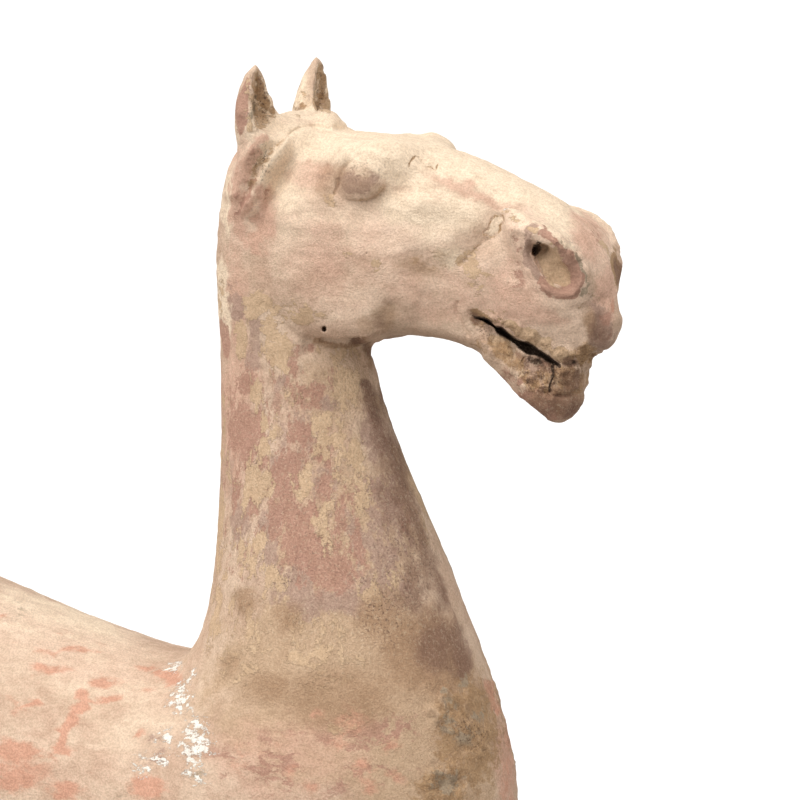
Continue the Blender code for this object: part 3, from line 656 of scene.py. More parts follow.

# Paint and soil. Over the bare clay lie a pale slip on the upper surfaces, worn mauve and rose
# paint, red brush strokes, flaking white ground, cream earth crusts and burial stains of umber and
# grey green. Umber, stain and dust are also laid as painted shade, and a near-black only as painted
# shade, in the creases under the jaw and chin, round the eye, on the far nostril, along the throat
# and in the mouth gap and nostril hole. Each is a share kept at every vertex; noise in the finish
# tears its edges.
# A patch is its middle, its two radii, then its strength and its lean in degrees if it has them.
PATCHES = {
    "buff": [
        (330, 235, 70, 60, 0.4), (400, 235, 60, 30, 0.9), (440, 275, 80, 40, 0.8, 10), (525, 290, 50, 50),
        (540, 235, 50, 30), (560, 325, 50, 40), (240, 190, 22, 60, 0.8), (600, 270, 24, 60),
        (345, 310, 50, 26, 0.6), (60, 640, 120, 40, 0.6, 15), (300, 130, 50, 30),
    ],
    "earth": [
        (330, 690, 130, 110), (420, 760, 90, 120), (350, 540, 80, 120, 0.8), (330, 430, 60, 90, 0.6),
        (450, 275, 50, 24, 0.4, 10),
    ],
    "slip": [
        (420, 150, 180, 38, 1, 8), (560, 205, 60, 26, 0.9, 35), (290, 160, 40, 30, 0.9, 20),
        (440, 225, 70, 26, 0.5), (300, 112, 34, 16, 0.8), (50, 625, 120, 30, 0.35, 15),
        (345, 143, 40, 13, 1.2), (500, 180, 70, 20, 1.2, 22), (290, 190, 26, 24, 0.6),
        (404, 160, 14, 12, 0.9), (330, 228, 60, 26, 0.45), (435, 205, 60, 22, 0.75, 8),
        (300, 124, 40, 14, 1.2), (110, 690, 110, 70, 0.28), (30, 700, 50, 40, 0.2),
        (345, 300, 60, 24, 0.35), (470, 300, 40, 16, 0.4, 20), (278, 162, 14, 16, 1.3),
        (222, 300, 9, 46, 1.2), (229, 205, 7, 34), (450, 256, 18, 10, 0.55), (420, 214, 36, 14, 0.95),
        (297, 92, 12, 34, 1.1), (22, 650, 40, 24, 0.3), (60, 615, 80, 16, 0.7, 15),
    ],
    "blush": [
        (310, 175, 26, 16, 0.5), (330, 265, 60, 50, 0.48), (470, 190, 50, 9, 0.7, 22),
        (440, 292, 70, 34, 0.5), (512, 300, 40, 34, 0.6, 20), (400, 262, 40, 16, 0.4),
        (520, 270, 24, 40, 0.55), (530, 312, 46, 12, 0.6, 20), (590, 235, 16, 30, 0.8, -30),
        (604, 300, 14, 40, 0.8), (238, 300, 9, 80, 0.6), (240, 420, 26, 90, 0.7),
        (290, 760, 100, 60, 0.5), (100, 760, 160, 60, 0.2), (505, 760, 12, 60, 0.8),
        (540, 400, 40, 18, 0.7), (300, 480, 60, 100, 0.4), (242, 170, 8, 50, 0.6),
        (267, 230, 12, 50, 0.5), (300, 120, 40, 8, 0.3),
    ],
    "lilac": [
        (238, 311, 8, 10, 0.9), (281, 384, 8, 9), (328, 408, 10, 10, 0.9), (283, 462, 16, 11, 0.9),
        (327, 478, 13, 13, 0.8), (240, 518, 13, 14), (271, 522, 10, 13), (271, 558, 11, 13, 0.9),
        (299, 580, 18, 16, 0.9), (330, 602, 50, 16, 1.1), (378, 530, 32, 80, 0.72),
        (372, 592, 40, 14, 0.8), (376, 450, 16, 50, 0.7), (358, 183, 24, 14, 0.6),
        (326, 180, 9, 18, 0.35), (601, 328, 14, 22, 0.95), (243, 122, 7, 14, 0.6), (466, 660, 8, 20, 0.7),
        (540, 372, 12, 10, 0.9), (234, 290, 6, 16, 0.6), (158, 750, 12, 20, 0.6),
        (300, 500, 90, 120, 0.32),
    ],
    "rose": [
        (280, 400, 60, 60, 0.45), (290, 500, 80, 70, 0.55), (320, 560, 50, 30, 0.65), (224, 341, 5, 20),
        (247, 387, 11, 13), (246, 430, 15, 34, 1.1), (278, 401, 8, 14, 0.9), (296, 370, 12, 9, 0.9),
        (305, 399, 7, 20, 0.9), (319, 389, 11, 10, 0.9), (296, 430, 12, 15, 0.85), (304, 347, 10, 7, 0.8),
        (266, 468, 8, 11, 0.9), (285, 480, 18, 24, 1.1), (314, 449, 7, 6, 0.8), (342, 498, 17, 12, 0.8),
        (292, 520, 20, 15), (308, 545, 24, 18, 1.2), (325, 566, 24, 12), (332, 584, 14, 10, 0.85),
        (237, 565, 9, 17, 0.8), (404, 520, 7, 11, 0.6), (300, 765, 110, 40, 0.36),
        (370, 740, 60, 40, 0.36), (545, 405, 30, 14, 1.1, 15), (607, 320, 8, 20, 0.8),
        (508, 376, 7, 12, 0.8, -40), (519, 380, 5, 4, 0.9), (595, 236, 6, 14, 0.5, -30),
        (513, 285, 12, 8, 0.4),
    ],
    "ochre": [
        (300, 100, 6, 16, 0.4), (352, 256, 8, 5, 0.5), (375, 262, 5, 12, 0.5), (474, 270, 8, 20, 0.7),
        (330, 200, 6, 8, 0.4), (222, 300, 8, 26, 0.3), (258, 308, 13, 14, 0.8), (270, 326, 11, 14, 0.9),
        (277, 352, 16, 21), (290, 368, 8, 6, 0.8), (242, 345, 4, 18, 0.9), (238, 328, 4, 7, 0.8),
        (257, 392, 7, 15, 0.9), (263, 420, 8, 14, 0.9), (278, 430, 8, 18, 0.9), (293, 400, 10, 14, 0.7),
        (326, 424, 17, 10, 0.9), (333, 447, 13, 17, 0.9), (350, 457, 13, 14, 0.95),
        (264, 449, 8, 10, 0.9), (254, 484, 16, 27), (250, 545, 18, 16, 0.9), (306, 477, 9, 18, 0.9),
        (340, 462, 17, 15, 0.9), (363, 487, 8, 19, 1.1), (326, 526, 9, 23, 0.7), (278, 582, 9, 11, 0.75),
        (256, 580, 12, 20, 0.7), (345, 380, 20, 30, 0.5), (425, 532, 6, 10, 0.6), (320, 650, 40, 30, 0.6),
        (240, 640, 30, 40, 0.5), (335, 655, 18, 26, 0.6), (484, 697, 12, 15, 0.8),
        (482, 280, 10, 22, 0.6, 10), (300, 312, 28, 10, 0.5), (553, 266, 10, 19, 1.3, -28),
        (525, 334, 40, 9, 1, 29), (562, 352, 14, 8, 0.9, 20), (500, 345, 16, 7, 0.7, 40),
        (345, 352, 30, 9, 0.5), (380, 590, 16, 14, 0.6), (588, 300, 10, 8, 0.4),
    ],
    # Stain is also painted shade: the marks in the crease at the eye's lower right and beside the lid fold,
    # under the jaw's back corner and under the chin; the others are burial stains.
    "stain_and_shade": [
        (246, 601, 14, 13, 0.8), (290, 616, 19, 17, 0.8), (232, 665, 12, 10, 0.7),
        (266, 687, 26, 18, 0.8), (283, 652, 7, 20, 0.5), (340, 700, 66, 36, 0.7), (382, 616, 26, 30, 0.8),
        (410, 655, 34, 42), (430, 640, 30, 40, 0.8), (412, 267, 24, 10, 0.5, 10),
        (376, 190, 12, 12, 0.4, 20), (350, 178, 28, 20, 0.5), (384, 318, 14, 16, 0.7),
        (326, 182, 12, 20, 0.5), (368, 325, 16, 10, 0.6), (590, 282, 7, 16, 0.4), (560, 398, 30, 14, 0.8),
        (590, 325, 8, 18, 0.8), (440, 670, 34, 30, 0.9), (478, 700, 16, 22, 0.7), (455, 740, 24, 40, 0.5),
    ],
    # Dust is partly painted shade: the marks on the far nostril's shaded side and under the chin; the rest
    # are dust and earth in the mouth, ears and cracks.
    "dust_and_shade": [
        (303, 106, 5, 4, 0.7), (506, 354, 26, 10, 0.75, 38), (616, 268, 5, 18), (566, 408, 12, 10, 0.5),
        (470, 735, 34, 60, 0.85), (440, 790, 30, 20, 0.8), (258, 88, 4, 18, 0.9), (265, 102, 5, 8, 0.9),
        (271, 112, 4, 5, 0.6), (322, 84, 4, 16, 0.8), (319, 104, 4, 7, 0.8), (560, 378, 34, 14, 0.8, 10),
        (430, 262, 30, 12, 0.3), (585, 354, 14, 10, 0.9), (480, 318, 12, 9, 0.9),
        (540, 380, 30, 12, 0.7, 20), (480, 345, 16, 8, 0.4, 40),
    ],
    "red": [
        (318, 712, 6, 6, 0.6), (352, 722, 18, 12, 0.6), (267, 752, 7, 6, 0.6), (296, 770, 9, 8, 0.6),
        (361, 768, 10, 12, 0.65), (312, 785, 6, 10, 0.6), (370, 790, 9, 11, 0.6), (340, 745, 12, 6, 0.5),
        (282, 738, 12, 5, 0.4), (392, 744, 11, 9, 0.6), (395, 775, 9, 8, 0.6), (240, 760, 10, 20, 0.45),
        (49, 667, 19, 5, 1.1), (105, 682, 17, 5, 1.1), (42, 699, 7, 4), (131, 733, 11, 6, 1.1),
        (92, 734, 3, 2, 0.7), (92, 769, 8, 4, 1.1, -20), (15, 750, 20, 9, 1.2), (16, 781, 20, 9, 1.2),
        (12, 768, 40, 30, 0.6), (65, 791, 14, 8, 1.2), (93, 795, 17, 5, 1.2), (148, 788, 20, 12),
        (172, 678, 13, 8, 1, 25), (165, 692, 4, 4), (63, 633, 6, 3, 0.6), (103, 644, 8, 3, 0.6),
        (14, 643, 14, 3, 0.5), (4, 616, 5, 4, 0.6), (613, 306, 3, 8, 0.8), (-60, 760, 70, 26, 0.6, 10),
        (-180, 720, 90, 30, 0.5), (507, 775, 8, 50, 0.5),
    ],
    # Umber is both stain and painted shade: the marks under the jaw and at the throat corner, under the
    # chin, beside the far nostril and along the mouth gap and between the teeth are painted shade; those
    # down the throat's right side are stain with painted shade in the throat's groove; the rest are stains.
    "umber_and_shade": [
        (400, 492, 9, 16, 0.8), (404, 521, 9, 14, 0.7), (436, 645, 26, 32, 0.7), (460, 668, 8, 14, 0.9),
        (378, 405, 12, 22, 0.7), (390, 450, 16, 44, 0.75, -18), (412, 520, 16, 50, 0.6, -16),
        (358, 341, 9, 4), (367, 349, 7, 8, 0.7), (380, 322, 7, 7, 0.45), (259, 88, 4, 14, 0.5, 6),
        (254, 183, 4, 5, 0.7), (317, 84, 3, 12, 0.4), (618, 270, 4, 14, 0.8), (568, 408, 14, 12, 0.75),
        (420, 560, 14, 30, 0.5), (545, 364, 16, 7, 0.75, 25), (530, 381, 6, 5, 0.7),
        (572, 380, 14, 14, 0.6), (520, 356, 8, 4, 0.7, 45), (570, 362, 8, 6, 0.7), (590, 296, 4, 8, 0.4),
        (574, 412, 10, 8, 0.4), (558, 406, 32, 14, 0.72), (598, 331, 11, 18, 0.62),
        (414, 585, 20, 44, 0.56), (395, 540, 18, 40, 0.4), (388, 500, 12, 34, 0.6), (475, 320, 7, 6, 0.9),
        (592, 344, 6, 8, 0.62), (300, 108, 4, 3, 0.4), (448, 590, 5, 12, 0.4),
    ],
    "verdigris": [
        (449, 716, 11, 20, 0.5), (466, 737, 16, 10, 0.45), (448, 782, 20, 14, 0.65), (464, 683, 5, 4),
        (445, 690, 5, 4), (482, 717, 8, 7, 0.8), (19, 612, 6, 13, 0.3), (119, 795, 8, 6, 0.8),
        (198, 776, 5, 4, 0.6), (253, 112, 3, 16, 0.6),
    ],
    "white": [
        (173, 667, 8, 3, 0.95, -15), (181, 700, 9, 13, 0.8), (166, 735, 6, 9, 0.7),
        (196, 741, 11, 21, 0.85), (148, 750, 3, 5, 0.8), (161, 763, 4, 8, 0.8), (143, 768, 6, 11, 0.6),
        (189, 772, 3, 7, 0.8), (198, 776, 6, 5, 0.5), (190, 674, 3, 3, 0.9), (505, 208, 5, 2, 0.6, 10),
    ],
    "specks": [
        (253, 465, 6, 7, 0.9), (286, 575, 9, 15, 0.9), (318, 546, 11, 12), (308, 498, 7, 5, 0.6),
        (366, 586, 9, 9, 0.9), (340, 540, 110, 90, 0.35), (400, 560, 40, 60, 0.6),
        (470, 735, 20, 20, 0.8), (330, 400, 60, 80, 0.3), (264, 98, 9, 28, 0.9), (320, 92, 6, 24, 0.8),
        (262, 162, 10, 16, 0.9), (545, 376, 34, 20, 0.8), (365, 172, 22, 12, 0.5), (250, 104, 4, 26, 0.7),
        (490, 330, 16, 16, 0.6), (384, 620, 24, 30, 0.8), (566, 246, 16, 8, 0.5, 40),
    ],
    # Near-black painted shade in the hollows beside and under the teeth.
    "hollow_shade": [(536, 361, 10, 4, 0.7, 20), (529, 381, 4, 4, 0.6), (572, 362, 4, 3, 0.6)],
}
# A stroke is the points of a line, its half width and its strength.
NOSTRIL_FLANK = [(560, 251), (570, 264), (576, 277), (572, 290), (561, 293), (550, 290), (540, 281)]
STROKES = {
    "ochre": [
        ([(223, 400), (222, 470), (221, 540), (216, 600)], 5, 0.8), ([(324, 728), (353, 725)], 2, 0.8),
        ([(379, 398), (384, 412)], 6, 0.8), ([(398, 452), (408, 475), (418, 500), (426, 520)], 7, 0.85),
        ([(503, 212), (520, 222), (538, 231)], 2, 0.6),
        ([(603, 244), (610, 255), (613, 268), (615, 282)], 1.8, 0.8),
        ([(250, 74), (249.5, 92), (250, 112), (251, 130)], 2, 0.8),
        ([(461, 262), (478, 247), (490, 237)], 3, 0.4),
    ],
    "blush": [
        ([(262, 141), (252, 150), (245, 162), (240, 180), (235, 198), (231, 214)], 6, 1.2),
        ([(262, 188), (263, 212), (258, 250)], 6, 0.9), ([(246, 196), (243, 215), (248, 240)], 6, 0.9),
    ],
    "slip": [([(502, 208), (520, 218), (538, 227), (556, 237), (574, 252)], 3, 0.7)],
    "lilac": [
        ([(255, 318), (256, 340), (255, 366)], 8, 0.85), ([(529, 228), (525, 245), (529, 262)], 5, 1.1),
        ([(529, 262), (535, 276)], 5, 1.1),
    ],
    "rose": [
        ([(254, 150), (247, 162), (242, 178), (238, 195)], 2.5, 0.35),
        ([(541, 232), (551, 242), (561, 252)], 3.2, 1), (NOSTRIL_FLANK, 6.2, 1.2),
        ([(254, 178), (249, 192), (244, 203), (239, 214)], 2.2, 0.85),
        ([(266, 190), (265, 204)], 2, 0.45), ([(514, 222), (513, 250), (518, 275)], 4, 0.45),
    ],
    # Painted shade along the crease under the eye.
    "dust_and_shade": [([(360, 200), (374, 197), (382, 190)], 2, 0.35)],
    # Painted shade in the crease under the jaw and down the throat corner below it.
    "stain_and_shade": [
        ([(314, 340), (332, 344), (348, 344), (364, 340)], 3.5, 0.85), ([(368, 344), (372, 362)], 5, 0.7),
    ],
    "red": [
        ([(84, 697), (74, 718), (64, 738), (55, 758)], 4, 1.3),
        ([(32, 655), (60, 650), (98, 651)], 2.5, 0.8), ([(137, 671), (148, 669), (160, 669)], 2.5, 1),
        ([(97, 700), (108, 701), (118, 697), (124, 692)], 2.5, 1.1),
        ([(127, 699), (138, 697), (146, 691)], 2.5, 1.1), ([(0, 705), (12, 701), (20, 696)], 2.5, 1),
        ([(14, 698), (15, 712)], 2.5, 0.6), ([(488, 682), (493, 697), (497, 712)], 4, 0.8),
        ([(-40, 690), (-80, 800), (-110, 900)], 7, 0.6),
        ([(-200, 640), (-240, 760), (-260, 840)], 7, 0.6),
    ],
    # The first three umber strokes run down the throat's right side: umber stain with painted shade in the
    # throat's groove.
    "umber_and_shade": [
        ([(365, 382), (371, 390), (371, 402), (377, 420), (386, 440)], 6, 0.9),
        ([(386, 440), (394, 460), (400, 480), (404, 503)], 7, 0.85),
        ([(420, 535), (427, 555), (434, 577), (440, 592), (446, 606)], 7, 0.75),
        ([(456, 628), (462, 650), (466, 668)], 8, 0.75), (NOSTRIL_FLANK, 6, 0.36),
    ],
    "verdigris": [([(576, 257), (583, 270), (585.5, 284), (581, 296)], 1.8, 0.9)],
    # Near-black painted shade in the crack between the two teeth.
    "hollow_shade": [([(552.5, 367), (554, 372), (553.5, 378), (550.5, 384), (549.5, 391)], 1.4, 1.1)],
}
# Soil from the ground lies over slab, hooves and feet up to these heights in metres.
SOIL = {"earth": (0.9, 0.20), "stain_and_shade": (0.8, 0.09), "umber_and_shade": (0.42, 0.045), "specks": (0.6, 0.05)}
# An area is an outline, how soft its edge is in pixels and its strength.
RECESS_FLOOR = [
    (285, 139), (277, 149), (271, 158), (265, 168), (259, 178), (252, 190), (247, 192), (248, 182),
    (251, 171), (256, 161), (264, 152), (275, 144),
]
EAR_INSIDE = [(255.5, 70), (262, 76), (268, 91), (275, 110), (277, 118), (267, 126), (257, 128), (254, 112)]
EAR_BACK = [
    (250, 72), (244, 84), (239, 96), (235, 110), (236, 124), (239, 136), (244, 133), (247, 118), (248, 100),
    (250, 84),
]
FAR_EAR_INSIDE = [(318, 62), (324, 70), (328, 85), (330, 100), (330, 113), (318, 111), (314, 104), (314, 88)]
AREAS = {
    # The mouth gap and the nostril hole are painted near-black: painted shade inside the cut openings.
    "hollow_shade": [
        (GAP_TOP + GAP_FOOT[::-1], 2.5, 1.7), (oval(HOLE_CENTRE, HOLE_RADII, HOLE_LEAN), 2, 1.2),
    ],
    # The recess behind the cheek holds dust with painted shade.
    "dust_and_shade": [(RECESS_FLOOR, 4, 0.5)],
    "ochre": [(NOSTRIL_DISH, 1.5, 1.1), (EAR_INSIDE, 1.5, 0.62), (FAR_EAR_INSIDE, 1.5, 0.62)],
    "rose": [(EAR_BACK, 2.5, 1.0)],
    "lilac": [(TOOTH, 2, 0.7)],
    "slip": [(CHIP, 1, 0.7), (EAR_INSIDE, 1.5, 1.0), (FAR_EAR_INSIDE, 1.5, 1.0)],
}
CRACK_HALF_WIDTH = 0.8
STROKES["dust_and_shade"] += [(crack, CRACK_HALF_WIDTH, 0.62) for crack in CRACKS + [CHIP + CHIP[:1]]]
# How far chance moves a mark's edge, in pixels.
WANDER = {
    "buff": 20, "earth": 20, "slip": 12, "blush": 14, "lilac": 8, "rose": 8, "ochre": 8, "stain_and_shade": 8,
    "dust_and_shade": 5, "red": 4, "umber_and_shade": 6, "verdigris": 8, "white": 4, "specks": 6, "hollow_shade": 2.5,
}
WARP_SIZE = np.array((0.007, 0.007, 0.007))
UPRIGHT_SIZE = np.array((0.006, 0.006, 0.016))
LEFT_WANDER = 60


def covered(pixels, patches, strokes):
    """How far each place is covered by patches, which are leaning ovals, and by brush strokes."""
    cover = np.zeros(len(pixels))
    for x, y, across, down, *rest in patches:
        strength, lean = (*rest, *(1.0, 0.0)[len(rest):])
        lean = math.radians(lean)
        gap = pixels - np.array((x, y))
        u = gap @ np.array((math.cos(lean), math.sin(lean))) / across
        v = gap @ np.array((-math.sin(lean), math.cos(lean))) / down
        cover = np.maximum(cover, strength * eased(-np.hypot(u, v), -1.5, -0.4))
    for points, half_width, strength in strokes:
        away, _ = beside(pixels, curved(points), 3 * half_width)
        cover = np.maximum(cover, strength * eased(-np.abs(away) / half_width, -1.6, -0.4))
    return cover


def torn(size, shift):
    """Uneven both ways round nought, with lumps of a size and crumbs on their edges."""
    return mottle(places, size, shift) + 0.6 * mottle(places, size / 3, shift + 9) - 0.8


places = places_of(horse)
normals = normals_of(horse)
upright = upright_share(places)
lying = [torn(WARP_SIZE, shift) for shift in (11.3, 23.9)]
standing = [torn(UPRIGHT_SIZE, shift) for shift in (17.3, 29.9)]
warp = np.stack([a + upright * (b - a) for a, b in zip(lying, standing)], 1)
wide_warp = np.stack([mottle(places, 0.05, shift) - 0.5 for shift in (31.3, 43.9)], 1)
left = eased(places[:, 1], 0.002, 0.02)
facing = normals @ np.array(view_back)
in_view = (facing + 0.3 * torn(0.012, 51.7) > -0.05) | (places[:, 1] < 0)
mirrored = seen(places) + wide_warp * left[:, None] * LEFT_WANDER
pixels = np.where(in_view[:, None], in_picture(places), mirrored)
hidden = eased(-facing, 0.2, 0.5) * eased(places[:, 2], 0.60, 0.62) * (places[:, 1] < 0)
for name in (*PATCHES, "upright", "crust"):
    if name == "upright":
        share = upright
    elif name == "crust":
        share = crust_share(seen(places))
    else:
        share = covered(pixels + warp * WANDER[name], PATCHES[name], STROKES.get(name, []))
        share = np.maximum(share, hidden) if name == "slip" else share * (1 - hidden)
        if name in SOIL:
            strength, top = SOIL[name]
            share = np.maximum(share, strength * eased(-places[:, 2], -top, -0.3 * top))
        share *= 0.8 + 0.4 * mottle(places, 0.009, 3.0 + len(PATCHES[name]))
        for outline, soft, strength in AREAS.get(name, []):
            share = np.maximum(share, strength * inside(pixels, outline, soft))
    layer = horse.data.attributes.new(name, "FLOAT", "POINT")
    layer.data.foreach_set("value", share.astype(np.float32))

# Slips, pigments, earths and stains in the order in which they lie, from the clay outwards; umber,
# stain and dust also stand for painted shade, and the near-black is painted shade alone.
COLOURS = {
    "buff": (0.78, 0.58, 0.44),
    "earth": (0.52, 0.36, 0.235),
    "slip": (0.83, 0.665, 0.495),
    "blush": (0.62, 0.38, 0.28),
    "lilac": (0.40, 0.265, 0.205),
    "rose": (0.43, 0.24, 0.175),
    "ochre": (0.59, 0.415, 0.265),
    "stain_and_shade": (0.37, 0.23, 0.138),
    "dust_and_shade": (0.40, 0.25, 0.135),
    "red": (0.61, 0.315, 0.215),
    "umber_and_shade": (0.22, 0.125, 0.085),
    "verdigris": (0.35, 0.275, 0.195),
    "white": (0.86, 0.81, 0.73),
    # Near-black, laid only as painted shade.
    "hollow_shade": (0.06, 0.036, 0.024),
}
# The size of the torn edges in lumps a metre, how soft they are, and the most that covers.
COVERING = {
    "buff": (40, 0.4, 0.95), "earth": (35, 0.35, 0.95), "slip": (45, 0.35, 1.0), "blush": (60, 0.40, 0.8),
    "lilac": (120, 0.2, 0.85), "rose": (110, 0.18, 0.88), "ochre": (120, 0.06, 0.9),
    "stain_and_shade": (60, 0.45, 0.9), "dust_and_shade": (220, 0.25, 0.9), "red": (170, 0.34, 0.85), "umber_and_shade": (90, 0.38, 0.85),
    "verdigris": (150, 0.20, 0.85), "white": (420, 0.04, 1.0), "hollow_shade": (260, 0.25, 0.95),
}
CLAY_DARK = (0.57, 0.395, 0.285)
CLAY_PALE = (0.67, 0.50, 0.37)
FLECK_COLOUR = (0.70, 0.57, 0.41)
SPECK_COLOUR = (0.10, 0.06, 0.045)
SAND_DARK, SAND_PALE = (0.84, 0.82, 0.80), (1.12, 1.12, 1.12)
WEAR_DARK, WEAR_PALE = (0.92, 0.90, 0.88), (1.06, 1.06, 1.06)
CLOD_CREVICE_SHADE, CLOD_CREST_LIGHT = (0.56, 0.50, 0.45), (1.17, 1.15, 1.12)
# Patterns in lumps a metre.
SAND_SCALE, WEAR_SCALE, CLAY_SCALE, FLECK_SCALE, SPECK_SCALE, CLOD_SCALE = 1000, 260, 45, 700, 800, 240
BUMP_STRENGTH, BUMP_DEPTH = 0.9, 0.001

fired = bpy.data.materials.new("painted_clay")
fired.use_nodes = True
nodes, links = fired.node_tree.nodes, fired.node_tree.links
shader = nodes["Principled BSDF"]
shader.inputs["Roughness"].default_value = 0.92
shader.inputs["Specular IOR Level"].default_value = 0.2
position = nodes.new("ShaderNodeTexCoord").outputs["Object"]


def noise(scale, detail=3.0, roughness=0.6, stretch=(1, 1, 1), turn=0):
    """A noise pattern fixed to the clay, with lumps about one over scale metres wide."""
    texture = nodes.new("ShaderNodeTexNoise")
    texture.inputs["Scale"].default_value = scale
    texture.inputs["Detail"].default_value = detail
    texture.inputs["Roughness"].default_value = roughness
    mapping = nodes.new("ShaderNodeMapping")
    mapping.inputs["Scale"].default_value = stretch
    mapping.inputs["Location"].default_value = (turn * 1.3, turn * 2.1, turn * 0.7)
    links.new(position, mapping.inputs[0])
    links.new(mapping.outputs[0], texture.inputs["Vector"])
    return texture.outputs[0]


def maths(operation, *values):
    """One sum of nodes; each value is a socket or a number."""
    step = nodes.new("ShaderNodeMath")
    step.operation = operation
    for socket, value in zip(step.inputs, values):
        if isinstance(value, (int, float)):
            socket.default_value = value
        else:
            links.new(value, socket)
    return step.outputs[0]


def between(value, low, high, to_low=0.0, to_high=1.0):
    """Carries a value from one range smoothly to another."""
    ranged = nodes.new("ShaderNodeMapRange")
    ranged.interpolation_type = "SMOOTHSTEP"
    links.new(value, ranged.inputs["Value"])
    for socket, number in zip(list(ranged.inputs)[1:5], (low, high, to_low, to_high)):
        socket.default_value = number
    return ranged.outputs[0]


def laid(under, over, share, mode="MIX"):
    """One colour over another by a share."""
    mixed = nodes.new("ShaderNodeMix")
    mixed.data_type = "RGBA"
    mixed.blend_type = mode
    if isinstance(share, float):
        mixed.inputs[0].default_value = share
    else:
        links.new(share, mixed.inputs[0])
    for socket, colour in ((mixed.inputs[6], under), (mixed.inputs[7], over)):
        if isinstance(colour, tuple):
            socket.default_value = (*colour, 1)
        else:
            links.new(colour, socket)
    return mixed.outputs[2]


def share_of(name):
    """The share kept at the vertices under this name."""
    attribute = nodes.new("ShaderNodeAttribute")
    attribute.attribute_name = name
    return attribute.outputs["Fac"]


def streaked(scale, detail, roughness, turn=0):
    """Noise drawn out up and down on the neck and legs, and lengthwise elsewhere."""
    both = nodes.new("ShaderNodeMix")
    links.new(share_of("upright"), both.inputs[0])
    links.new(noise(scale, detail, roughness, (0.55, 1, 1), turn), both.inputs[2])
    links.new(noise(scale, detail, roughness, (1, 1, 0.5), turn), both.inputs[3])
    return both.outputs[0]


# The height of the crusty pigments over the clay, in millimetres.
THICKNESS = {"ochre": 0.4, "white": 0.3, "rose": -0.12}
raised = 0.0
grain = noise(SAND_SCALE, 3, 0.7)
wear = streaked(WEAR_SCALE, 4, 0.7)
colour = laid(CLAY_DARK, CLAY_PALE, between(noise(CLAY_SCALE, 4), 0.36, 0.64))
for turn, (name, pigment) in enumerate(COLOURS.items()):
    size, soft, most = COVERING[name]
    threshold = between(streaked(size, 5, 0.75, turn), 0.40, 0.60, soft, 1 - soft)
    excess = maths("SUBTRACT", share_of(name), threshold)
    cover = between(excess, -soft, soft, 0, most)
    colour = laid(colour, pigment, cover)
    if name in THICKNESS:
        raised = maths("MULTIPLY_ADD", cover, THICKNESS[name], raised)
rough_skin = maths("MULTIPLY_ADD", share_of("upright"), 0.14, 0.1)
flecks = maths("MULTIPLY", between(noise(FLECK_SCALE, 3, 0.7, turn=21), 0.55, 0.62), rough_skin)
colour = laid(colour, FLECK_COLOUR, flecks)
shade = laid(SAND_DARK, SAND_PALE, between(grain, 0.38, 0.62))
colour = laid(colour, shade, 0.75, "MULTIPLY")
shade = laid(WEAR_DARK, WEAR_PALE, between(wear, 0.38, 0.62))
colour = laid(colour, shade, 0.8, "MULTIPLY")
dots = between(noise(SPECK_SCALE, 2, 0.6, turn=33), 0.57, 0.62)
dark_dots = maths("MULTIPLY", dots, share_of("specks"))
colour = laid(colour, SPECK_COLOUR, maths("MULTIPLY", dark_dots, 0.75))
# The crusts are painted darker in their crevices and paler on the crumbs' tops, by the same noise that
# raises the crumbs: painted shade and painted highlight.
clods = noise(CLOD_SCALE, 5, 0.7, turn=45)
shade = laid(CLOD_CREVICE_SHADE, CLOD_CREST_LIGHT, between(clods, 0.38, 0.56))
colour = laid(colour, shade, maths("MULTIPLY", share_of("crust"), 0.8), "MULTIPLY")
links.new(colour, shader.inputs["Base Color"])
bump = nodes.new("ShaderNodeBump")
bump.inputs["Strength"].default_value = BUMP_STRENGTH
bump.inputs["Distance"].default_value = BUMP_DEPTH
height = maths("ADD", maths("MULTIPLY", grain, 0.8), maths("MULTIPLY", wear, 0.6))
crumbs = maths("MULTIPLY", maths("MULTIPLY", clods, share_of("crust")), 3.0)
height = maths("ADD", maths("ADD", height, crumbs), raised)
links.new(height, bump.inputs["Height"])
links.new(bump.outputs[0], shader.inputs["Normal"])
horse.data.materials.append(fired)

# The floor is a plain pale studio floor, one flat sheet that runs out of sight on every side. The
# slab of the horse stands on it. It is part of the stage and not of the horse.
FLOOR_CORNERS = [(-60, -60, 0), (60, -60, 0), (60, 60, 0), (-60, 60, 0)]
FLOOR_COLOUR = (0.9, 0.9, 0.9, 1)
floor_mesh = bpy.data.meshes.new("floor")
floor_mesh.from_pydata(FLOOR_CORNERS, [], [(0, 1, 2, 3)])
floor = bpy.data.objects.new("pale_floor", floor_mesh)
bpy.context.scene.collection.objects.link(floor)
floor_mat = bpy.data.materials.new("floor")
floor_mat.use_nodes = True
floor_shader = floor_mat.node_tree.nodes["Principled BSDF"]
floor_shader.inputs["Base Color"].default_value = FLOOR_COLOUR
floor_shader.inputs["Roughness"].default_value = 0.9
floor_mesh.materials.append(floor_mat)
floor.visible_diffuse = False

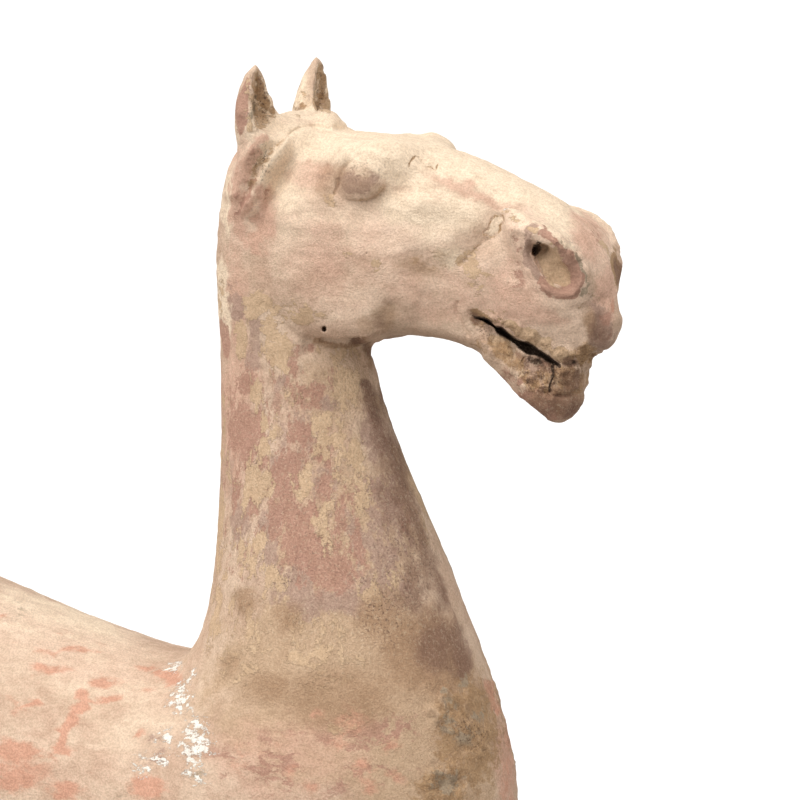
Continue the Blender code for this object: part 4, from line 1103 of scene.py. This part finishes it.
# The light is plain and soft: a broad key above the camera's left, weaker softboxes on top and at
# both sides, and a room that is white at eye level and dimmer towards its floor and ceiling. A
# softbox is its strength, its spread in degrees and the way towards it.
ROOM_LOW, ROOM_LEVEL, ROOM_HIGH = (0.36, 0.335, 0.31, 1), (1, 1, 1, 1), (0.42, 0.42, 0.42, 1)
SOFTBOXES = {
    "key": (2.45, 70, view_back * 0.75 + view_up * 1.0 - view_right * 0.5),
    "top": (0.7, 70, view_back * 0.35 + view_up * 1.0 + view_right * 0.8),
    "left_fill": (1.0, 90, view_back * 0.5 + view_up * 0.2 - view_right * 1.0),
    "right_fill": (0.35, 90, view_back * 0.7 + view_up * 0.1 + view_right * 1.0),
}
for name, (strength, spread, towards) in SOFTBOXES.items():
    softbox = bpy.data.lights.new(name, "SUN")
    softbox.energy = strength
    softbox.angle = math.radians(spread)
    stand = bpy.data.objects.new(name, softbox)
    stand.rotation_mode = "QUATERNION"
    stand.rotation_quaternion = towards.to_track_quat("Z", "Y")
    bpy.context.scene.collection.objects.link(stand)
world = bpy.data.worlds.new("studio")
bpy.context.scene.world = world
world.use_nodes = True
nodes, links = world.node_tree.nodes, world.node_tree.links
place = nodes.new("ShaderNodeTexCoord")
split = nodes.new("ShaderNodeSeparateXYZ")
links.new(place.outputs["Generated"], split.inputs[0])
ramp = nodes.new("ShaderNodeValToRGB")
ramp.color_ramp.elements[0].position = 0.45
ramp.color_ramp.elements[0].color = ROOM_LOW
ramp.color_ramp.elements[1].position = 0.5
ramp.color_ramp.elements[1].color = ROOM_LEVEL
up_high = ramp.color_ramp.elements.new(0.56)
up_high.color = ROOM_HIGH
shift = nodes.new("ShaderNodeMath")
shift.operation = "MULTIPLY_ADD"
shift.inputs[1].default_value = 0.5
shift.inputs[2].default_value = 0.5
links.new(split.outputs[2], shift.inputs[0])
links.new(shift.outputs[0], ramp.inputs[0])
links.new(ramp.outputs[0], nodes["Background"].inputs["Color"])
bpy.context.scene.view_settings.view_transform = "Standard"
